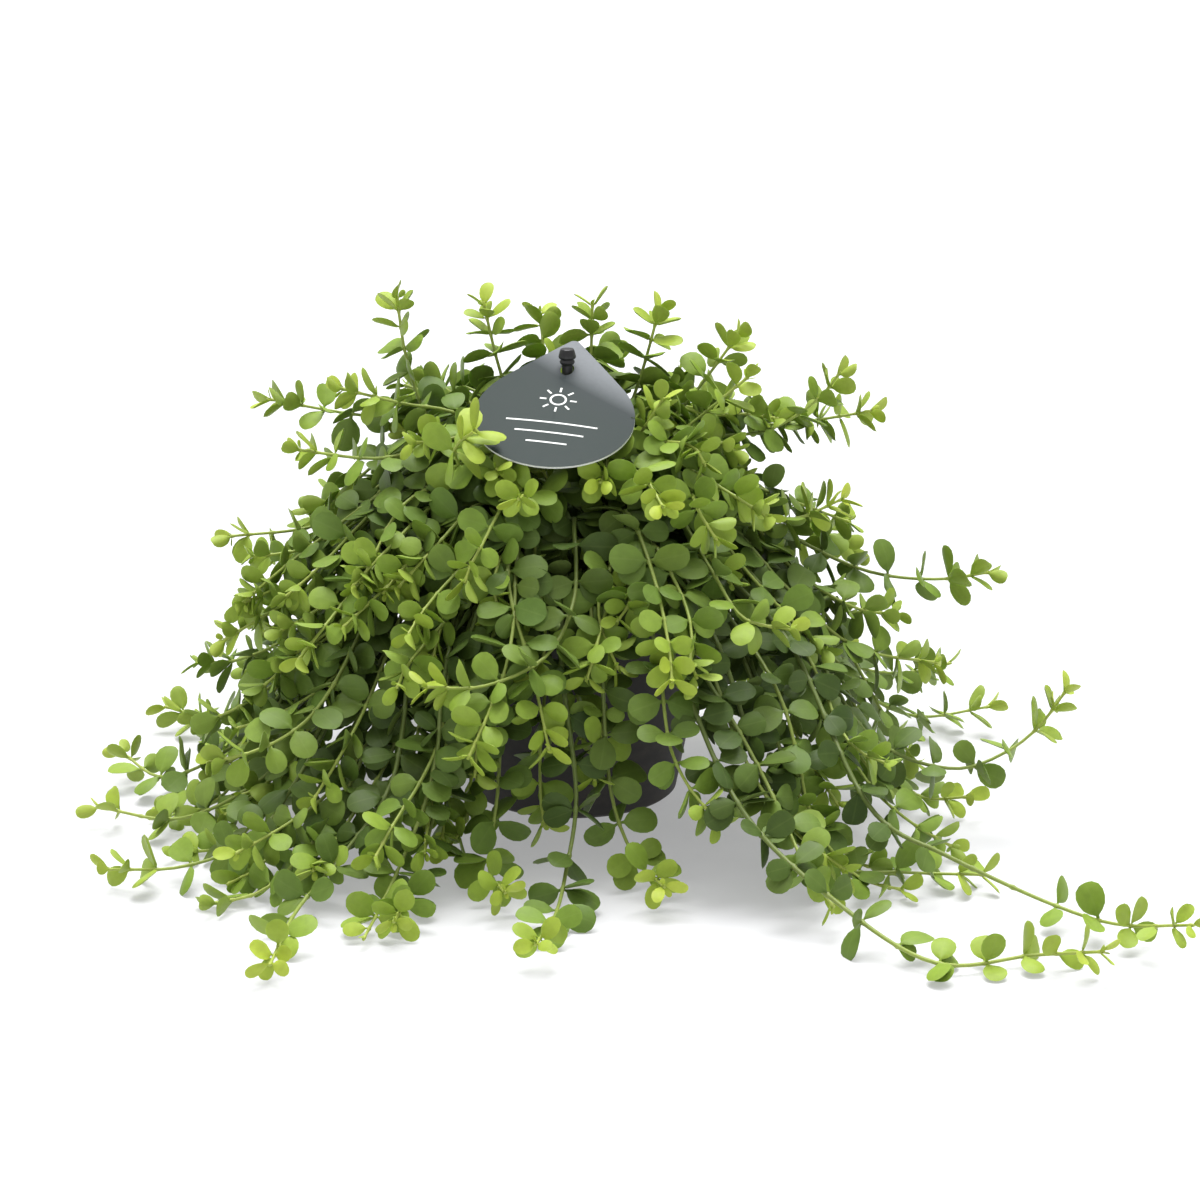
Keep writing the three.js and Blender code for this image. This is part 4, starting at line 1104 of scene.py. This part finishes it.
class Stem:
    """One leafy stem: its route, its whorls and the leaves that have found room."""

    def __init__(self, name, layer, points, index, stretch=1, shaded=0):
        self.name = name
        self.layer = layer
        self.route = Route(points)
        self.heading = math.atan2(points[0].y, points[0].x) / DEG % 360
        self.whorls = make_whorls(self.route, stretch * LAYERS[layer][2], index)
        self.shaded = shaded
        self.gain = STEM_GAINS.get(name, 1)
        self.leaves = {}

    def ribbon(self):
        """The stem as a row of thin triangles, to find what crosses it."""
        samples = self.route.samples[::RIBBON_STEP]
        for low, high in zip(samples, samples[1:]):
            side = low + (high - low).cross(UP).normalized() * RIBBON_WIDTH
            yield low, BVHTree.FromPolygons([low, high, side], [(0, 1, 2)], all_triangles=True)

    def rings(self):
        """Centre, direction, crosswise direction, radius and age, with painted light, of each skin ring."""
        route = self.route
        deep = route.ground - UP * (ROOT_DEPTH + ROOT_RISE)
        root = stem_radius(route.length) * STEM_ROUND_SHARE
        rings = [(deep, UP, route.across, root, 1), (route.ground, UP, route.across, root, 1)]
        stops = [(0, 1)]
        for whorl in self.whorls:
            joint = whorl.distance
            stops += [(joint - JOINT_HALF, 1), (joint, JOINT_SWELL), (joint + JOINT_HALF, 1)]
        stops.append((route.length, APEX_SHARE))
        walk = []
        for (low, _), (high, swell) in zip(stops, stops[1:]):
            cuts = max(1, round((high - low) / STEM_STEP))
            walk += [(low + (high - low) * i / cuts, 1) for i in range(1, cuts)]
            walk.append((high, swell))
        across = route.across
        for distance, swell in walk:
            along = route.along(distance)
            across = (across - along * across.dot(along)).normalized()
            from_tip = max(route.length - distance, 0)
            radius = stem_radius(from_tip) * STEM_ROUND_SHARE * swell
            place = route.at(distance)
            rings.append((place, along, across, radius, age_with_painted_light(place, from_tip)))
        return rings


def grow_stems():
    """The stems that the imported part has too."""
    stems = []
    for layer, plans in STEMS.items():
        for i, (heading, *through) in enumerate(plans):
            stems.append(Stem(f"{layer}_stem_{i + 1:02d}", layer, way(layer, heading, through), len(stems)))
    return stems


def hides_label(point):
    """Whether a point would hide the label from someone in front of the plant."""
    seen = FROM_LABEL @ point
    along = FROM_LABEL.to_3x3() @ TO_BACK
    if seen.z < 0:
        return False
    seen -= along * seen.z / along.z
    slope = LABEL_RADIUS / math.sqrt(LABEL_APEX ** 2 - LABEL_RADIUS ** 2)
    in_peak = seen.y > LABEL_RADIUS ** 2 / LABEL_APEX and abs(seen.x) < slope * (LABEL_APEX - seen.y)
    return seen.length < LABEL_RADIUS or in_peak


def between(one, other, share, reach, tuck, draw):
    """The points of a stem that grows between two others and ends before them."""
    wander = Vector([WANDER * (next(draw) - 0.5) for _ in range(3)])
    sway = Vector([SWAY * (next(draw) - 0.5) for _ in range(3)])
    phase = next(draw)
    points = []
    for step in range(BETWEEN_POINTS + 1):
        part = step / BETWEEN_POINTS
        place = one.at(one.length * part * reach).lerp(other.at(other.length * part * reach), share)
        place += wander * math.sin(part * math.pi / 2)
        place += sway * math.sin(2 * math.pi * (SWAY_WAVES * part + phase)) * part
        place.xy *= 1 - tuck * part
        if place.z < POT_HEIGHT + STEM_CLEARANCE and step > 0:
            place.xy *= max(1, (POT_RIM_RADIUS + STEM_CLEARANCE) / place.xy.length)
            place.z = max(place.z, STEM_CLEARANCE)
        points.append(place)
    return points


def fill_stems(stems):
    """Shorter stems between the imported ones, so that the plant is as dense as it should be."""
    draw = seeded(FILL_SEED)
    fillers = []
    for layers, shortest, longest, tuck, first, last in FILL:
        layer = layers.split()[0]
        ring = [stem for stem in stems if stem.layer in layers.split()]
        ring.sort(key=lambda stem: stem.heading)
        for one, other in zip(ring, ring[1:] + ring[:1]):
            if not first <= one.heading <= last:
                continue
            share = FILL_NEAREST + (1 - 2 * FILL_NEAREST) * next(draw)
            reach = shortest + (longest - shortest) * next(draw)
            reach = min(reach, FILL_LONGEST / max(one.route.length, other.route.length))
            points = between(one.route, other.route, share, reach, tuck, draw)
            if not any(hides_label(point) for point in points):
                name = f"{layer}_fill_{len(fillers) + 1:02d}"
                index = FILL_FIRST + len(fillers)
                fillers.append(Stem(name, layer, points, index, FILL_STRETCH, FILL_SHADED))
    return fillers


def wilful_roll(draw):
    """A roll of a leaf about its own length, mostly small."""
    return ROLL_SPREAD * (next(draw) + next(draw) - 1)


def vary(whorl, side, turn, draw):
    """A turn with some wilfulness of its own, and drooping where the leaf faces out from a hanging stem."""
    pitch, yaw, scale = turn
    outward = around(whorl.along, whorl.across, whorl.turn + 90 * DEG * side)
    away = Vector((whorl.centre.x, whorl.centre.y, 0)).normalized()
    droop = DROOP_OUT * max(-whorl.along.z, 0) * max(outward.dot(away), 0)
    pitch += droop + PITCH_SPREAD * (next(draw) - 0.5)
    return pitch, yaw, scale * (SCALE_LEAST + SCALE_SPREAD * next(draw))


def packed_leaves(stem, thicket, draw):
    """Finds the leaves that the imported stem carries, each by the point at its crown."""
    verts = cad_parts[stem.name].data.vertices
    tree = kdtree.KDTree(len(verts))
    for i, vert in enumerate(verts):
        tree.insert(vert.co / MM, i)
    tree.balance()
    for whorl in stem.whorls:
        for slot in whorl.slots:
            for turn in LEAF_TURNS:
                if tree.find(Leaf(whorl, slot, turn).crown())[2] > FOUND_WITHIN:
                    continue
                # The leaf rolls a little where it has room for that
                for roll in (wilful_roll(draw), 0):
                    leaf = Leaf(whorl, slot, turn, roll)
                    leaf.fill_out(stem.gain)
                    shell = leaf.shell()[1]
                    if thicket.is_clear(leaf, shell, stem.name):
                        break
                stem.leaves[whorl.rank, slot[0]] = leaf
                thicket.put(leaf.crown(), shell)
                break


def more_leaves(stem, rank, thicket, draw):
    """Fills the open slots of a whorl where there is room."""
    whorl = next((one for one in stem.whorls if one.rank == rank), None)
    if whorl is None:
        return
    trails = whorl.centre.z < TRAIL_HEIGHT and whorl.centre.xy.length > TRAIL_REACH
    loss = TRAIL_LOSS if trails else LEAF_LOSS + OLD_LOSS * min(whorl.from_tip / OLD_LENGTH, 1)
    for slot in whorl.slots:
        if (rank, slot[0]) in stem.leaves or next(draw) < loss:
            continue
        in_bud = rank == 0 and slot[0] % 2 == 1
        for pitch, yaw, scale in MORE_TURNS:
            turn = vary(whorl, slot[0], (pitch, yaw, scale * BUD_SIZE if in_bud else scale), draw)
            leaf = Leaf(whorl, slot, turn, wilful_roll(draw))
            leaf.fill_out(stem.gain)
            if leaf.ahead.dot(leaf.outward) < LEAF_MIN_OUTWARD or hides_label(leaf.crown()):
                continue
            outline, tree = leaf.shell()
            if all(is_open(point) for point in outline) and thicket.is_clear(leaf, tree, stem.name):
                stem.leaves[rank, slot[0]] = leaf
                thicket.put(leaf.crown(), tree)
                break


def tree_of(node):
    """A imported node's surface in millimetres, to find what crosses it."""
    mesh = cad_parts[node].data
    points = [vert.co / MM for vert in mesh.vertices]
    return BVHTree.FromPolygons(points, [tuple(face.vertices) for face in mesh.polygons])


# Leaf blades and stem skins

def green_shape():
    """A shape with what its finishes read: age and painted light, tone, blade place and underside."""
    bm = bmesh.new()
    bm.verts.layers.float.new("age")
    bm.verts.layers.float.new("tone")
    bm.loops.layers.uv.new("blade")
    bm.loops.layers.float.new("under")
    return bm


def leaf_blade(name, droop, cup, twist):
    """One leaf of length and width 1 with its stalk at the origin, pointing along +Y, its upper face up."""
    bm = green_shape()
    uv = bm.loops.layers.uv["blade"]
    under = bm.loops.layers.float["under"]
    steps = len(LEAF_ROWS) - 1
    bmesh.ops.create_grid(bm, x_segments=LEAF_CELLS, y_segments=steps, size=1)
    for face in bm.faces:
        face.material_index = 1
        for loop in face.loops:
            loop[uv].uv = (loop.vert.co.xy + Vector((1, 1))) / 2
    copied = bmesh.ops.duplicate(bm, geom=bm.verts[:] + bm.edges[:] + bm.faces[:])
    lower = [item for item in copied["geom"] if isinstance(item, bmesh.types.BMFace)]
    bmesh.ops.reverse_faces(bm, faces=lower)
    for face in lower:
        for loop in face.loops:
            loop[under] = 1
    below = set(verts_in(copied))
    for vert in bm.verts:
        across = vert.co.x
        row = round((vert.co.y + 1) / 2 * steps)
        along, half = LEAF_ROWS[row]
        if row == steps:
            along += LEAF_TIP * (1 - across ** 2)
        flesh = LEAF_FLESH * math.sqrt(max(1 - across ** 2, 0)) if 0 < row < steps else 0
        bend = -droop * along ** 2 + cup * across ** 2 * half + twist * across * half * along
        vert.co = (0.5 * half * across, along, bend - flesh if vert in below else bend + flesh)
    bmesh.ops.remove_doubles(bm, verts=bm.verts, dist=SAME_PLACE / 10)
    return mesh_of(bm, name)


def sweep(bm, rings):
    """A round skin through rings, closed at both ends."""
    age = bm.verts.layers.float["age"]
    edges, before = None, None
    for centre, along, across, radius, ring_age_and_light in rings:
        size = Matrix.Diagonal((radius, radius, radius, 1))
        place = Matrix.Translation(centre) @ upright(along, across) @ size
        if edges is None:
            made = bmesh.ops.create_circle(bm, cap_ends=True, segments=STEM_SIDES, radius=1, matrix=place)
            verts = made["verts"]
            edges = edges_round(made)
        else:
            made = bmesh.ops.extrude_edge_only(bm, edges=edges)
            verts = verts_in(made)
            fresh = set(verts)
            edges = [
                item for item in made["geom"]
                if isinstance(item, bmesh.types.BMEdge) and fresh.issuperset(item.verts)
            ]
            bmesh.ops.transform(bm, matrix=place @ before.inverted(), verts=verts)
        before = place
        for vert in verts:
            vert[age] = ring_age_and_light
    bmesh.ops.contextual_create(bm, geom=edges)
    bmesh.ops.recalc_face_normals(bm, faces=bm.faces)


def age_with_painted_light(place, from_tip):
    """How old a point looks, from 0 to 1: less far out, as painted light for stems in full light."""
    near, far = PAINTED_LIGHT_REACH
    # Painted light: far out, where stems lie in full light, the green is kept paler
    out = min(max((place.xy.length - near) / (far - near), 0), 1)
    return min(from_tip / AGE_LENGTH, 1) * (1 - out * (1 - PAINTED_LIGHT_LEAST))


def dress(stem, blades, draw, nodes):
    """One leafy stem as a finished piece."""
    bm = green_shape()
    sweep(bm, stem.rings())
    shade = next(draw)
    for leaf in stem.leaves.values():
        blade = blades[int(next(draw) * len(blades))].copy()
        blade.transform(leaf.matrix())
        values = {
            "age": age_with_painted_light(leaf.origin, leaf.from_tip + stem.shaded),
            "tone": TONE_OF_LEAF * next(draw) + TONE_OF_STEM * shade,
        }
        for name, value in values.items():
            blade.attributes[name].data.foreach_set("value", [value] * len(blade.vertices))
        put_in(bm, blade)
    for vert in bm.verts:
        vert.co.z = max(vert.co.z, LOWEST)
    piece(object_of(bm, "foliage_" + stem.name, [STEM, LEAF]), "foliage", *nodes)


def make_foliage():
    """All the leafy stems."""
    stems = grow_stems()
    thicket = Thicket([tree_of(node) for node in ("pot", "soil", "label", "stake")])
    draw = seeded(ROLL_SEED)
    for stem in stems:
        packed_leaves(stem, thicket, draw)
    grown = stems + fill_stems(stems)
    for stem in grown:
        for low, tree in stem.ribbon():
            thicket.put(low, tree, stem.name)
    draw = seeded(LEAF_SEED)
    # One rank of whorls at a time, from the tips down, so that the stems share the room
    for group in (stems, grown[len(stems):]):
        for rank in range(max(len(stem.whorls) for stem in group)):
            for stem in group:
                more_leaves(stem, rank, thicket, draw)
    blades = [leaf_blade(f"blade_{i}", *form) for i, form in enumerate(LEAF_FORMS)]
    for stem in grown:
        dress(stem, blades, draw, [stem.name] if stem in stems else [])


# The stage: floor, light and camera

def make_stage():
    """A pale table top with a painted glow, under soft light from above."""
    bm = bmesh.new()
    bmesh.ops.create_grid(bm, x_segments=1, y_segments=1, size=TABLE_REACH)
    object_of(bm, "floor", [TABLE])
    world = bpy.data.worlds.new("soft_room")
    world.use_nodes = True
    tree = world.node_tree
    # The room is bright overhead and dim at eye level
    towards = add(tree, "SeparateXYZ", {0: add(tree, "TexCoord").outputs["Generated"]}).outputs
    glow = add(tree, "MapRange", {0: towards["Z"], 1: 0, 2: 1, 3: ROOM_LOW, 4: ROOM_HIGH})
    tree.links.new(glow.outputs[0], tree.nodes["Background"].inputs["Strength"])
    tree.nodes["Background"].inputs["Color"].default_value = (1, 1, 1, 1)
    bpy.context.scene.world = world
    lamp = bpy.data.lights.new("soft_box", "SUN")
    lamp.energy = LAMP_STRENGTH
    lamp.angle = LAMP_ANGLE
    show("soft_box", lamp).rotation_euler = LAMP_TURN


def make_camera():
    """The camera in front of the plant, looking a little down."""
    lens = bpy.data.cameras.new("camera")
    lens.lens = CAMERA_LENS
    camera = show("camera", lens)
    camera.location = CAMERA_PLACE
    camera.rotation_euler = (CAMERA_TILT, 0, 0)
    bpy.context.scene.camera = camera
    bpy.context.scene.view_settings.view_transform = "Standard"


make_camera()
make_stage()
make_pot()
make_soil()
make_stake()
make_label()
make_foliage()
